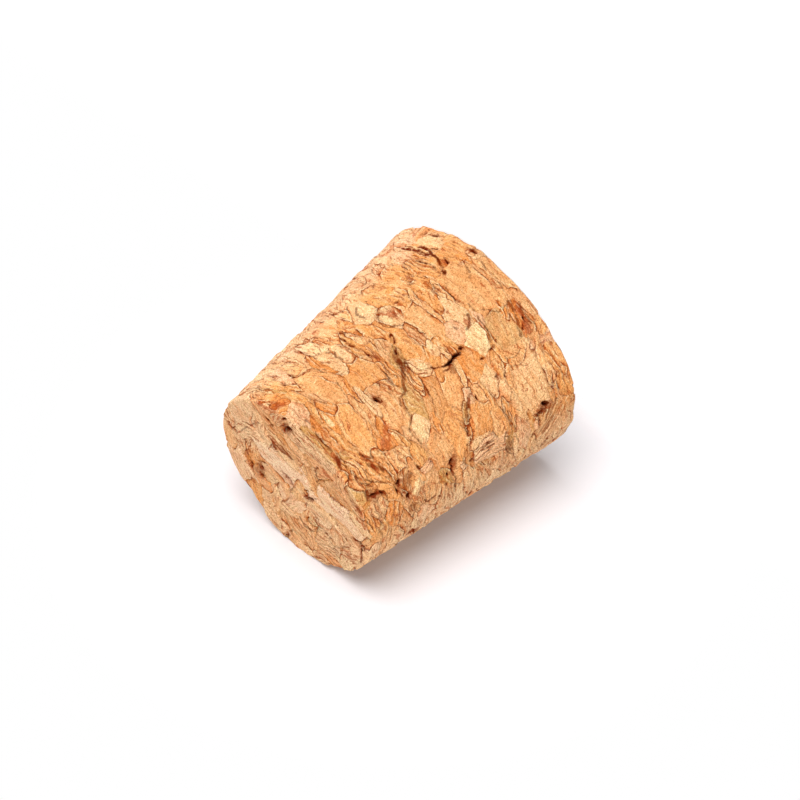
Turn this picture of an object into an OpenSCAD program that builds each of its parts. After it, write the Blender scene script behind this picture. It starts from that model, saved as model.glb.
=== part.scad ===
// Tapered stopper of agglomerated cork, ground from one moulded block of bonded
// granules. Millimetres. It stands on its wide end, centred on the Z axis, and
// its front is towards -Y. Angles run round the plug from the front towards +X.

/* [Plug] */
// Diameter across the wide end
wide_d = 25; // [22.5:0.1:40]
// Diameter across the narrow end
narrow_d = 19.7; // [14:0.1:22]
// Height from the wide end to the narrow end
height = 25; // [20:0.5:45]

/* [Rims] */
// Rounding of the rim round the wide end
wide_round = 0.2; // [0.15:0.05:0.8]
// Rounding of the rim round the narrow end
narrow_round = 0.15; // [0.15:0.05:0.8]

/* [Granules] */
// Most that a sunk granule's face lies below the ground surface
granule_sink = 0.25; // [0.1:0.05:0.4]
// Rows of sunk granules up the plain side
sunk_rows = 7; // [5:1:8]
// Columns of sunk granules round the plain side
sunk_columns = 8; // [6:1:9]
// Sunk granules on the wide end
sunk_wide = 12; // [4:1:14]

/* [Flaws] */
// Depth of a crevice between badly bonded granules
crevice_depth = 1; // [0.5:0.1:2.5]
// Crevices scattered over the plain side, and half as many over the wide end
scattered = 24; // [2:2:30]

/* [Hidden] */
$fn = 144;

wide_r = wide_d / 2;
narrow_r = narrow_d / 2;
lean = (wide_r - narrow_r) / height;
taper = atan(lean);

// Thickness by which cutting tools stand clear of the surface
clear = 1;

// The plain side, which the front's own flaws leave free, as the angles it spans
plain_from = 80;
plain_span = 200;

// Angle from each to the next of what is spread evenly over a disc or up the side
spiral = 137.5;

// Seeds of the ragged outlines
side_sunk_seed = 41;
front_crevice_seed = 97;
face_sunk_seed = 157;
face_crevice_seed = 217;
plain_crevice_seed = 337;
wide_crevice_seed = 437;
wide_sunk_seed = 477;
chip_seed = 497;

// Numbers from which the chances of each kind are counted, and how many each may use
PLAIN_CREVICE_CHANCES = 1000;
WIDE_CREVICE_CHANCES = 2000;
WIDE_SUNK_CHANCES = 3000;
chances_each = 10;

// Least and most of what chance settles: moves as shares of the pitch, lengths, turns
// and shares of the crevice depth
SUNK_MOVE = [-0.12, 0.12];
SUNK_LONG = [2.4, 3.8];
SUNK_HIGH = [1.1, 2];
SUNK_TURN = [-14, 14];
WIDE_SUNK_LONG = [2.2, 3.8];
WIDE_SUNK_HIGH = [1.2, 2.1];
CREVICE_MOVE = [-0.35, 0.35];
CREVICE_LONG = [0.6, 1.8];
CREVICE_WIDE = [0.26, 0.6];
CREVICE_TURN = [-18, 18];
CREVICE_SHARE = [0.4, 0.8];
ANY_TURN = [0, 180];

// Shares of the sink that sunk granules take
SINKS = [0.4, 0.6, 1];

// Sunk granules of the front: angle, share of the height, long, high, turn, which
// of the sinks
FRONT_SUNK = [
    [-31.0, 0.930, 1.7, 1.8, 30, 1],
    [-15.0, 0.940, 3.8, 1.2, 14, 0],
    [41.5, 0.956, 1.2, 1.7, 60, 0],
    [-63.0, 0.896, 4.0, 1.4, -4, 0],
    [22.0, 0.868, 1.8, 1.2, 10, 1],
    [37.0, 0.900, 3.2, 1.2, 4, 0],
    [-37.5, 0.788, 3.1, 1.8, -12, 2],
    [-11.0, 0.776, 3.2, 1.9, -14, 0],
    [20.0, 0.752, 3.0, 0.8, -8, 1],
    [58.0, 0.812, 3.4, 1.6, 2, 0],
    [-51.0, 0.700, 3.2, 2.4, -6, 0],
    [-19.0, 0.644, 2.7, 1.4, -8, 0],
    [12.8, 0.688, 1.0, 1.5, 10, 1],
    [37.0, 0.712, 3.4, 1.2, 3, 0],
    [-4.5, 0.608, 2.3, 1.6, 4, 0],
    [14.0, 0.604, 3.2, 0.9, -4, 0],
    [38.5, 0.576, 3.0, 0.8, 2, 0],
    [-48.0, 0.500, 2.6, 1.1, -10, 1],
    [15.6, 0.540, 1.7, 1.0, -18, 2],
    [25.0, 0.550, 1.9, 1.2, -10, 0],
    [52.0, 0.544, 4.0, 1.2, 0, 0],
    [-64.0, 0.444, 4.4, 2.4, 22, 0],
    [-27.0, 0.460, 3.0, 0.6, -20, 1],
    [-4.8, 0.410, 1.2, 0.9, -10, 2],
    [18.0, 0.416, 2.6, 0.9, 0, 0],
    [36.0, 0.436, 2.6, 2.0, 0, 0],
    [-56.5, 0.324, 4.0, 1.1, 3, 2],
    [-7.5, 0.330, 2.6, 2.1, 10, 0],
    [53.0, 0.360, 2.8, 2.0, 0, 0],
    [-40.0, 0.288, 3.6, 0.8, -4, 1],
    [-20.5, 0.302, 2.4, 1.2, -3, 0],
    [29.0, 0.276, 4.0, 1.3, -2, 0],
    [-62.0, 0.128, 4.6, 3.2, -38, 0],
    [-49.0, 0.164, 1.2, 1.4, 30, 2],
    [-3.5, 0.160, 4.2, 2.5, -8, 1],
    [36.8, 0.120, 1.1, 0.9, -10, 1],
    [46.0, 0.150, 3.8, 0.7, 2, 1],
    [-43.0, 0.040, 3.0, 1.3, 10, 0],
    [-8.0, 0.068, 3.2, 1.1, -4, 1]
];

// Sunk granules of the plain side, in rows and columns that their chance unsettles,
// with the same measures
PLAIN_SUNK = [
    for (j = [0:sunk_rows - 1], i = [0:sunk_columns - 1])
        let (
            n = chances_each * (j * sunk_columns + i),
            column = i + 0.25 + (j % 2) / 2 + between(SUNK_MOVE, n)
        )
        [
            plain_from + column * plain_span / sunk_columns,
            (j + 0.5 + between(SUNK_MOVE, n + 1)) / sunk_rows,
            between(SUNK_LONG, n + 2),
            between(SUNK_HIGH, n + 3),
            between(SUNK_TURN, n + 4),
            floor(len(SINKS) * chance(n + 5))
        ]
];

SIDE_SUNK = concat(FRONT_SUNK, PLAIN_SUNK);

// Sunk granules of the narrow end: place in shares of its radius, long, high, turn
FACE_SUNK = [
    [-0.275, -0.620, 3.9, 3.0, 4],
    [0.365, -0.355, 5.0, 2.0, 8],
    [-0.670, 0.345, 3.2, 2.4, 30],
    [-0.350, 0.650, 4.6, 2.8, -8],
    [-0.405, 0.020, 4.2, 1.5, 24],
    [0.265, 0.355, 3.2, 2.0, 10],
    [0.680, 0.335, 2.6, 1.4, -20]
];

// Crevices and pits of the front: angle, share of the height, long, wide, turn,
// share of the crevice depth
FRONT_CREVICES = [
    [-0.7, 0.438, 1.6, 0.40, 66, 0.90],
    [-1.3, 0.382, 1.5, 0.32, -80, 0.80],
    [0.8, 0.330, 0.5, 0.34, 60, 0.45],
    [7.4, 0.706, 1.1, 0.42, 16, 0.70],
    [-43.2, 0.582, 0.9, 0.75, -20, 0.70],
    [-48.0, 0.594, 1.8, 0.30, -5, 0.45],
    [-45.5, 0.798, 0.7, 0.52, 20, 0.70],
    [-34.8, 0.814, 0.8, 0.48, -30, 0.60],
    [-34.0, 0.720, 0.7, 0.26, 20, 0.45],
    [-28.6, 0.940, 0.8, 0.45, 42, 0.50],
    [-31.6, 0.928, 1.0, 0.50, 78, 0.55],
    [-33.8, 0.894, 0.9, 0.40, 25, 0.50],
    [-54.8, 0.178, 1.9, 0.42, -6, 0.80],
    [-46.6, 0.140, 1.4, 0.60, 40, 0.80],
    [-50.8, 0.500, 0.5, 0.30, 60, 0.40],
    [-71.0, 0.366, 0.9, 0.30, 8, 0.50],
    [-9.4, 0.290, 0.6, 0.24, 66, 0.45],
    [-6.0, 0.064, 1.4, 0.30, -10, 0.45],
    [22.6, 0.506, 1.8, 0.30, -24, 0.60],
    [39.0, 0.612, 1.0, 0.26, 0, 0.50],
    [44.0, 0.612, 1.1, 0.24, 0, 0.45],
    [48.2, 0.584, 0.6, 0.36, 70, 0.60],
    [50.6, 0.884, 0.6, 0.24, 0, 0.45],
    [51.2, 0.836, 0.7, 0.34, 8, 0.50],
    [62.0, 0.724, 1.5, 0.24, 2, 0.45],
    [32.9, 0.160, 0.7, 0.40, 0, 0.70],
    [51.0, 0.109, 1.2, 0.22, 2, 0.40],
    [31.0, 0.022, 0.9, 0.26, 4, 0.40],
    [54.0, 0.032, 1.4, 0.34, 8, 0.45],
    [60.5, 0.130, 1.4, 0.22, 0, 0.40],
    [65.6, 0.512, 0.7, 0.28, 10, 0.40]
];

// Crevices and pits of the narrow end: place in shares of its radius, long, wide,
// turn, share of the crevice depth
FACE_CREVICES = [
    [0.086, 0.046, 1.4, 0.62, -14, 0.60],
    [-0.178, -0.091, 1.3, 0.42, 60, 0.60],
    [0.274, 0.482, 0.9, 0.60, 75, 0.40],
    [0.431, 0.513, 1.1, 0.46, -50, 0.50],
    [0.355, 0.355, 0.9, 0.75, 20, 0.45],
    [0.843, 0.289, 1.1, 0.50, 20, 0.60],
    [0.452, -0.721, 1.8, 0.62, 86, 0.80],
    [-0.807, -0.299, 1.4, 0.60, 30, 0.70],
    [-0.883, -0.213, 1.5, 0.34, -50, 0.45],
    [-0.376, 0.386, 1.5, 0.26, 24, 0.30],
    [-0.553, 0.178, 0.7, 0.24, 8, 0.30],
    [-0.355, 0.096, 0.8, 0.24, -14, 0.30],
    [0.274, -0.320, 0.9, 0.30, 0, 0.30],
    [0.437, -0.249, 1.5, 0.24, 14, 0.30],
    [0.579, -0.457, 0.9, 0.26, 74, 0.35],
    [-0.325, 0.934, 1.5, 0.34, 92, 0.50],
    [-0.645, 0.741, 1.2, 0.26, 70, 0.40],
    [-0.538, -0.797, 0.6, 0.24, 10, 0.30],
    [-0.701, -0.832, 0.9, 0.30, 5, 0.35]
];

// Shallow wear on the rims: angle, share of the height, long, wide, turn, depth
RIM_CHIPS = [
    [140, 1, 5.0, 2.2, 4, 0.28],
    [163, 1, 5.6, 2.6, -3, 0.42],
    [242, 1, 3.6, 1.6, 6, 0.22],
    [-61, 0, 2.8, 1.3, 7, 0.24],
    [-24, 0, 1.8, 1.0, -8, 0.16],
    [14, 0, 2.2, 1.0, 6, 0.16],
    [38, 0, 1.6, 1.0, 0, 0.14],
    [56, 0, 2.4, 1.2, -4, 0.18],
    [118, 0, 2.6, 1.3, 4, 0.20],
    [201, 0, 3.2, 1.3, -6, 0.22],
    [287, 0, 2.0, 1.1, 3, 0.16]
];

// A chance from 0 to 1 that belongs to a whole number
function chance(n) = let (v = sin(n * 127.1 + 31.7) * 4375.85) v - floor(v);

// What that chance makes of a range
function between(range, n) = range[0] + (range[1] - range[0]) * chance(n);

// Radius of the ground side at height z
function side_r(z) = wide_r - z * lean;

function arc(centre, r, from, to, steps = 5) = [
    for (i = [0:steps])
        let (a = from + (to - from) * i / steps)
        centre + r * [cos(a), sin(a)]
];

// Half section of the ground plug, from the axis out round both rims
function plug_section() =
    let (
        wide_c = wide_r - wide_round * (1 + sin(taper)) / cos(taper),
        narrow_c = narrow_r - narrow_round * (1 - sin(taper)) / cos(taper)
    )
    concat(
        [[0, 0]],
        arc([wide_c, wide_round], wide_round, -90, taper),
        arc([narrow_c, height - narrow_round], narrow_round, taper, 90),
        [[0, height]]
    );

// Ragged lens such as a crevice or a torn flake leaves
function flake(long, wide, seed, steps = 4) =
    let (
        over = rands(0.7, 1.25, steps, seed),
        under = rands(0.7, 1.25, steps, seed + 1),
        share = [for (i = [1:steps]) 2 * i / (steps + 1) - 1]
    )
    concat(
        [[-long / 2, 0]],
        [
            for (i = [0:steps - 1])
                [share[i] * long, over[i] * wide * sqrt(1 - share[i] ^ 2)] / 2
        ],
        [[long / 2, 0]],
        [
            for (i = [steps - 1:-1:0])
                [share[i] * long, -under[i] * wide * sqrt(1 - share[i] ^ 2)] / 2
        ]
    );

// Puts its children on the side: X round the plug, Y up it, Z out of it
module on_side(angle, z) {
    rotate([0, 0, angle])
        translate([0, -side_r(z), z])
            rotate([90 - taper, 0, 0])
                children();
}

module plug() {
    rotate_extrude()
        polygon(plug_section());
}

// The ground side, let in by depth and running past both ends
module side_within(depth) {
    translate([0, 0, -clear])
        cylinder(
            h = height + 2 * clear,
            r1 = side_r(-clear) - depth,
            r2 = side_r(height + clear) - depth
        );
}

// The room over a sunk granule of the side, from under its floor to clear of the side
module over_granule(g, seed) {
    root = granule_sink + 0.6;
    on_side(g[0], g[1] * height)
        rotate([0, 0, g[4]])
            translate([0, 0, -root])
                linear_extrude(root + clear / 2)
                    polygon(flake(g[2], g[3], seed));
}

// What is missing over the sunk granules of the side
module sunk_granules() {
    for (k = [0:len(SINKS) - 1])
        difference() {
            for (n = [0:len(SIDE_SUNK) - 1])
                if (SIDE_SUNK[n][5] == k)
                    over_granule(SIDE_SUNK[n], side_sunk_seed + n);
            side_within(granule_sink * SINKS[k]);
        }
}

// A crevice: a ragged mouth with a narrower floor
module crevice(long, wide, depth, seed) {
    translate([0, 0, -depth / 2])
        linear_extrude(depth / 2 + clear)
            polygon(flake(long, wide, seed));
    translate([0, 0, -depth])
        linear_extrude(depth)
            polygon(flake(long * 0.7, wide * 0.6, seed + 5, 2));
}

// A shallow place with a flat floor and a ragged edge
module pocket(long, wide, depth, seed) {
    translate([0, 0, -depth])
        linear_extrude(depth + clear)
            polygon(flake(long, wide, seed));
}

module front_crevices() {
    for (k = [0:len(FRONT_CREVICES) - 1])
        let (f = FRONT_CREVICES[k])
            on_side(f[0], f[1] * height)
                rotate([0, 0, f[4]])
                    crevice(f[2], f[3], f[5] * crevice_depth, front_crevice_seed + k);
}

// Sunk granules and crevices of the narrow end
module face_flaws() {
    for (k = [0:len(FACE_SUNK) - 1])
        let (f = FACE_SUNK[k])
            translate([f[0] * narrow_r, f[1] * narrow_r, height])
                rotate([0, 0, f[4]])
                    pocket(f[2], f[3], SINKS[0] * granule_sink, face_sunk_seed + k);
    for (k = [0:len(FACE_CREVICES) - 1])
        let (f = FACE_CREVICES[k])
            translate([f[0] * narrow_r, f[1] * narrow_r, height])
                rotate([0, 0, f[4]])
                    crevice(f[2], f[3], f[5] * crevice_depth, face_crevice_seed + k);
}

// Puts its children on the wide end, Z out of it, at a place round it and out from
// its middle
module on_wide_end(angle, r) {
    rotate([0, 0, angle])
        translate([r, 0, 0])
            rotate([180, 0, 0])
                children();
}

// Crevices of the plain side, and sunk granules and crevices of the wide end, spread
// evenly but for what their chance adds
module scattered_flaws() {
    for (k = [0:scattered - 1])
        let (
            n = PLAIN_CREVICE_CHANCES + chances_each * k,
            column = k + 0.5 + between(CREVICE_MOVE, n),
            rise = 0.5 + 0.43 * sin(k * spiral)
        )
            on_side(plain_from + column * plain_span / scattered, rise * height)
                rotate([0, 0, between(CREVICE_TURN, n + 1)])
                    crevice(
                        between(CREVICE_LONG, n + 2), between(CREVICE_WIDE, n + 3),
                        between(CREVICE_SHARE, n + 4) * crevice_depth, plain_crevice_seed + k
                    );
    for (k = [1:scattered / 2])
        let (n = WIDE_CREVICE_CHANCES + chances_each * k)
            on_wide_end(k * spiral + 70, wide_r * (0.1 + 0.8 * sqrt(k * 2 / scattered)))
                rotate([0, 0, between(ANY_TURN, n)])
                    crevice(
                        between(CREVICE_LONG, n + 1), between(CREVICE_WIDE, n + 2),
                        between(CREVICE_SHARE, n + 3) * crevice_depth, wide_crevice_seed + k
                    );
    for (k = [1:sunk_wide])
        let (n = WIDE_SUNK_CHANCES + chances_each * k)
            on_wide_end(k * spiral, wide_r * (0.02 + 0.8 * sqrt(k / sunk_wide)))
                rotate([0, 0, between(ANY_TURN, n)])
                    pocket(
                        between(WIDE_SUNK_LONG, n + 1), between(WIDE_SUNK_HIGH, n + 2),
                        SINKS[0] * granule_sink, wide_sunk_seed + k
                    );
}

module rim_chips() {
    for (k = [0:len(RIM_CHIPS) - 1])
        let (
            c = RIM_CHIPS[k],
            slope = c[1] == 1 ? 40 : -30
        )
            rotate([0, 0, c[0]])
                translate([0, -side_r(c[1] * height), c[1] * height])
                    rotate([90 - slope, 0, 0])
                        rotate([0, 0, c[4]])
                            pocket(c[2], c[3], c[5], chip_seed + k);
}

module cork_stopper() {
    color([0.87, 0.66, 0.44])
        difference() {
            plug();
            sunk_granules();
            front_crevices();
            face_flaws();
            scattered_flaws();
            rim_chips();
        }
}

cork_stopper();
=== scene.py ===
"""Dresses the tapered stopper of agglomerated cork and sets it in a plain studio.

Lengths in the classes are millimetres and angles are degrees, unless a name says
otherwise. Meshes are written in metres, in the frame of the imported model. Angles round
the plug run from the front (-Y) towards +X, and a rise is a height up from the wide end.
"""

import logging
import math
from dataclasses import dataclass, field
from enum import Enum
from functools import reduce

import bpy
import numpy as np
from mathutils import Matrix, Vector
from mathutils.geometry import delaunay_2d_cdt


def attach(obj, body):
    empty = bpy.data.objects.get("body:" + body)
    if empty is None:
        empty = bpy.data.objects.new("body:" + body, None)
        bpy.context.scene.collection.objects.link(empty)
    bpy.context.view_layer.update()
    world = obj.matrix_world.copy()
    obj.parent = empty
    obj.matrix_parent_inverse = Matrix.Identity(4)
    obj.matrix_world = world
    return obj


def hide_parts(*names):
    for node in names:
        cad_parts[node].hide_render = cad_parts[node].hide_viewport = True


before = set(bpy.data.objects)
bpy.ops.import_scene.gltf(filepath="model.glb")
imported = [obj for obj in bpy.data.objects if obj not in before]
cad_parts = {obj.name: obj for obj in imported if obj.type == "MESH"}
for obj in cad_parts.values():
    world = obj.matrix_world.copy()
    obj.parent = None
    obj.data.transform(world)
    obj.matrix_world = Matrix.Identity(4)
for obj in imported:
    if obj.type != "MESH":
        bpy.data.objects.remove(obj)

log = logging.getLogger("cork_stopper")

MM = 0.001
NODE = "cork_stopper"

# Pale colour of the painted highlights beside growth lines, fibre strokes and seams
PAINTED_HIGHLIGHT = (255, 222, 172)
GROWTH = (184, 74, 10)
SEAM = (142, 42, 4)
WHITE = (1.0, 1.0, 1.0)

Color = tuple[float, float, float]
Span = tuple[float, float]
Path = tuple[tuple[float, float], ...]
Waves = tuple[tuple[float, float, float], ...]
Socket = bpy.types.NodeSocket
Outputs = bpy.types.bpy_prop_collection
Feed = Socket | float | Color


class Tone(Enum):
    """Colours of the bark, as 8-bit display values."""

    CREAM = (255, 216, 158)
    PALE = (252, 200, 144)
    ROSE = (255, 208, 168)
    BLUSH = (247, 189, 141)
    PEACH = (248, 183, 121)
    HONEY = (245, 171, 103)
    AMBER = (239, 155, 84)
    STRAW = (241, 171, 102)
    BEIGE = (237, 175, 119)
    FAWN = (231, 163, 102)
    KHAKI = (234, 180, 118)
    OLIVE = (218, 160, 94)
    SIENNA = (226, 138, 70)
    RUST = (186, 82, 36)
    UMBER = (146, 80, 42)


class Part(Enum):
    """The three surfaces of the plug."""

    SIDE = "side"
    NARROW = "narrow end"
    WIDE = "wide end"


def linear(shade: tuple[int, int, int]) -> Color:
    """Turns an 8-bit display colour into linear light.

    Args:
        shade: The red, green and blue values, 0 to 255.

    Returns:
        The same colour as linear values, 0 to 1.
    """
    return tuple(
        c / 12.92 if c <= 0.04045 else ((c + 0.055) / 1.055) ** 2.4
        for c in (v / 255 for v in shade)
    )


def cell_chance(cells: np.ndarray, seed: int) -> np.ndarray:
    """Gives each whole-numbered cell of space its own fixed chance.

    Args:
        cells: Whole numbers, one row of three for each cell.
        seed: Sets which of many such fields is read.

    Returns:
        One number from 0 to 1 for each cell.
    """
    x, y, z = (cells[:, axis].astype(np.uint32) for axis in range(3))
    mixed = x * np.uint32(374761393) + y * np.uint32(668265263) + z * np.uint32(2246822519)
    mixed = mixed + np.uint32(seed * 3266489 % 4294967291)
    mixed = (mixed ^ (mixed >> np.uint32(15))) * np.uint32(2246822519)
    mixed = (mixed ^ (mixed >> np.uint32(13))) * np.uint32(3266489917)
    return (mixed ^ (mixed >> np.uint32(16))).astype(np.float64) / 4294967295.0


def cloud(points: np.ndarray, size: float, seed: int) -> np.ndarray:
    """A smooth random field over space.

    Args:
        points: Places, one row of three for each.
        size: Distance over which the field changes.
        seed: Sets which of many such fields is read.

    Returns:
        One number from -1 to 1 for each place.
    """
    scaled = points / size + 1000.0
    base = np.floor(scaled).astype(np.int64)
    part = scaled - base
    ease = part * part * (3 - 2 * part)
    total = np.zeros(len(points))
    for corner in range(8):
        step = np.array([(corner >> axis) & 1 for axis in range(3)])
        weight = np.prod(np.where(step, ease, 1 - ease), axis=1)
        total += weight * cell_chance(base + step, seed)
    return 2 * total - 1


@dataclass(frozen=True)
class Cloud:
    """A smooth random field over space, from minus its amount to its amount."""

    size: float
    amount: float
    seed: int

    def at(self, points: np.ndarray, number: int = 0) -> np.ndarray:
        """The field at each place; the number picks one of many that are like it."""
        return self.amount * cloud(points, self.size, self.seed + number)


def chance(number: int) -> float:
    """A chance from 0 to 1 that belongs to a whole number, the same as the solid's."""
    value = math.sin(math.radians(number * 127.1 + 31.7)) * 4375.85
    return value - math.floor(value)


def between(span: Span, number: int) -> float:
    """What the chance of a whole number makes of a range."""
    return span[0] + (span[1] - span[0]) * chance(number)


def smooth(values: np.ndarray, low: float, high: float) -> np.ndarray:
    """Eases from 0 at low to 1 at high."""
    share = np.clip((values - low) / (high - low), 0, 1)
    return share * share * (3 - 2 * share)


@dataclass(frozen=True)
class Plug:
    """The ground form that the granules make up, with its rounded rims."""

    wide_r: float = 12.5
    narrow_r: float = 9.85
    height: float = 25.0
    wide_round: float = 0.2
    narrow_round: float = 0.15

    @property
    def lean(self) -> float:
        """How much the radius falls for each unit of rise."""
        return (self.wide_r - self.narrow_r) / self.height

    @property
    def taper(self) -> float:
        """Half the angle of the taper, in radians."""
        return math.atan(self.lean)

    def side_r(self, rise: float) -> float:
        """Radius of the ground side at a rise."""
        return self.wide_r - rise * self.lean

    def frame_at(self, part: Part, one: float, two: float) -> tuple[np.ndarray, np.ndarray]:
        """Finds a place on the surface and the axes that lie along it.

        Args:
            part: The surface that the place is on.
            one: Angle round the side, or X on an end.
            two: Rise up the side, or Y on an end.

        Returns:
            The place, and three rows: along the surface, up or across it, and out of it.
        """
        if part is Part.SIDE:
            turn = math.radians(one)
            r, sine, cosine = self.side_r(two), math.sin(turn), math.cos(turn)
            down, level = math.sin(self.taper), math.cos(self.taper)
            along = (cosine, sine, 0)
            up = (-sine * down, cosine * down, level)
            out = (sine * level, -cosine * level, down)
            return np.array([r * sine, -r * cosine, two]), np.array([along, up, out])
        sign = 1 if part is Part.NARROW else -1
        axes = np.array([(1, 0, 0), (0, sign, 0), (0, 0, sign)], float)
        return np.array([one, two, self.height if sign > 0 else 0.0]), axes

    def section(self, row: float) -> np.ndarray:
        """Walks the half section from the wide end's rim to the narrow end's.

        Args:
            row: Distance between rows up the side.

        Returns:
            Rows of radius, rise, and the outward slope across and up.
        """
        level, down = math.cos(self.taper), math.sin(self.taper)
        wide_c = self.wide_r - self.wide_round * (1 + down) / level
        narrow_c = self.narrow_r - self.narrow_round * (1 - down) / level
        narrow_rise = self.height - self.narrow_round
        wide = self._rim(wide_c, self.wide_round, self.wide_round, -math.pi / 2, self.taper)
        narrow = self._rim(narrow_c, narrow_rise, self.narrow_round, self.taper, math.pi / 2)
        bottom, top = wide[-1][1], narrow[0][1]
        rises = np.linspace(bottom, top, round((top - bottom) / row) + 1)[1:-1]
        side = [(self.side_r(rise), rise, level, down) for rise in rises]
        return np.array(wide + side + narrow)

    @staticmethod
    def _rim(
        r: float, rise: float, bend: float, first: float, last: float
    ) -> list[tuple[float, ...]]:
        """Walks round the section of one rounded rim.

        Args:
            r: Radius of the rounding's centre.
            rise: Rise of that centre.
            bend: Radius of the rounding.
            first: Angle at which it starts, in radians up from straight out.
            last: Angle at which it ends.

        Returns:
            Rows of radius, rise, and the outward slope across and up.
        """
        slopes = [(math.cos(a), math.sin(a)) for a in np.linspace(first, last, 5)]
        return [(r + bend * across, rise + bend * up, across, up) for across, up in slopes]


@dataclass(frozen=True)
class Mark:
    """A long, lens-shaped thing on one part of the plug, at a turn to its own axes.

    Its place is the angle round the side and the rise, or X and Y on an end.
    """

    one: float
    two: float
    long: float
    high: float
    turn: float

    def placed(self, plug: Plug, part: Part) -> tuple[np.ndarray, np.ndarray]:
        """Finds where the mark is.

        Args:
            plug: The plug.
            part: The surface that the mark is on.

        Returns:
            Its centre, and three rows: along the mark, across it, and out of the surface.
        """
        centre, (one, two, out) = plug.frame_at(part, self.one, self.two)
        turn = math.radians(self.turn)
        sine, cosine = math.sin(turn), math.cos(turn)
        return centre, np.array([cosine * one + sine * two, cosine * two - sine * one, out])


@dataclass(frozen=True)
class Granule(Mark):
    """One flake of bark as it shows at the surface."""

    tone: Tone
    sink: float = 0.0
    lines: float = 0.5


@dataclass(frozen=True)
class Hollow(Mark):
    """A crevice, pit or torn place: a ragged lens let into the surface."""

    depth: float


@dataclass(frozen=True)
class Stain(Mark):
    """A ragged patch where the bark is of another colour."""

    tone: Tone


@dataclass(frozen=True)
class Vein:
    """A dark line of bark or glue that runs along the surface."""

    path: Path
    width: float
    strength: float


@dataclass(frozen=True)
class Crack:
    """A narrow open crevice in the side that runs along a path."""

    path: Path
    width: float
    depth: float


@dataclass(frozen=True)
class Wear:
    """A stretch of rim that stands out or is worn in."""

    part: Part
    angle: float
    spread: float
    out: float


@dataclass(frozen=True)
class Coat:
    """A colour, and the most of it that is laid over another."""

    shade: tuple[int, int, int]
    most: float


@dataclass(frozen=True)
class Patches:
    """Patches where a random field is high.

    Its scale is in waves for each millimetre, and the patches come in from low to high.
    """

    scale: float
    low: float
    high: float
    detail: float = 2.0


@dataclass(frozen=True)
class Lines:
    """A set of growth lines.

    It holds how many there are for each millimetre, the width of one as a share of their
    spacing, and the chance from which one shows. They are spaced by a least share of that,
    and by a further one that goes with the granule's chance, which also shifts them.
    """

    often: float
    wide: float
    kept: float
    spacing: Span = (0.75, 0.5)
    shift: float = 37.0
    ease: float = 0.4
    middle: float = 0.4
    # Offset of each line's painted highlight from it, in line widths
    flank: float = 1.5


def table_of(kind: type, *values: tuple) -> tuple:
    """Makes a table of one kind of thing, one for each row of its values."""
    return tuple(kind(*row) for row in values)


T = Tone

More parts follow.
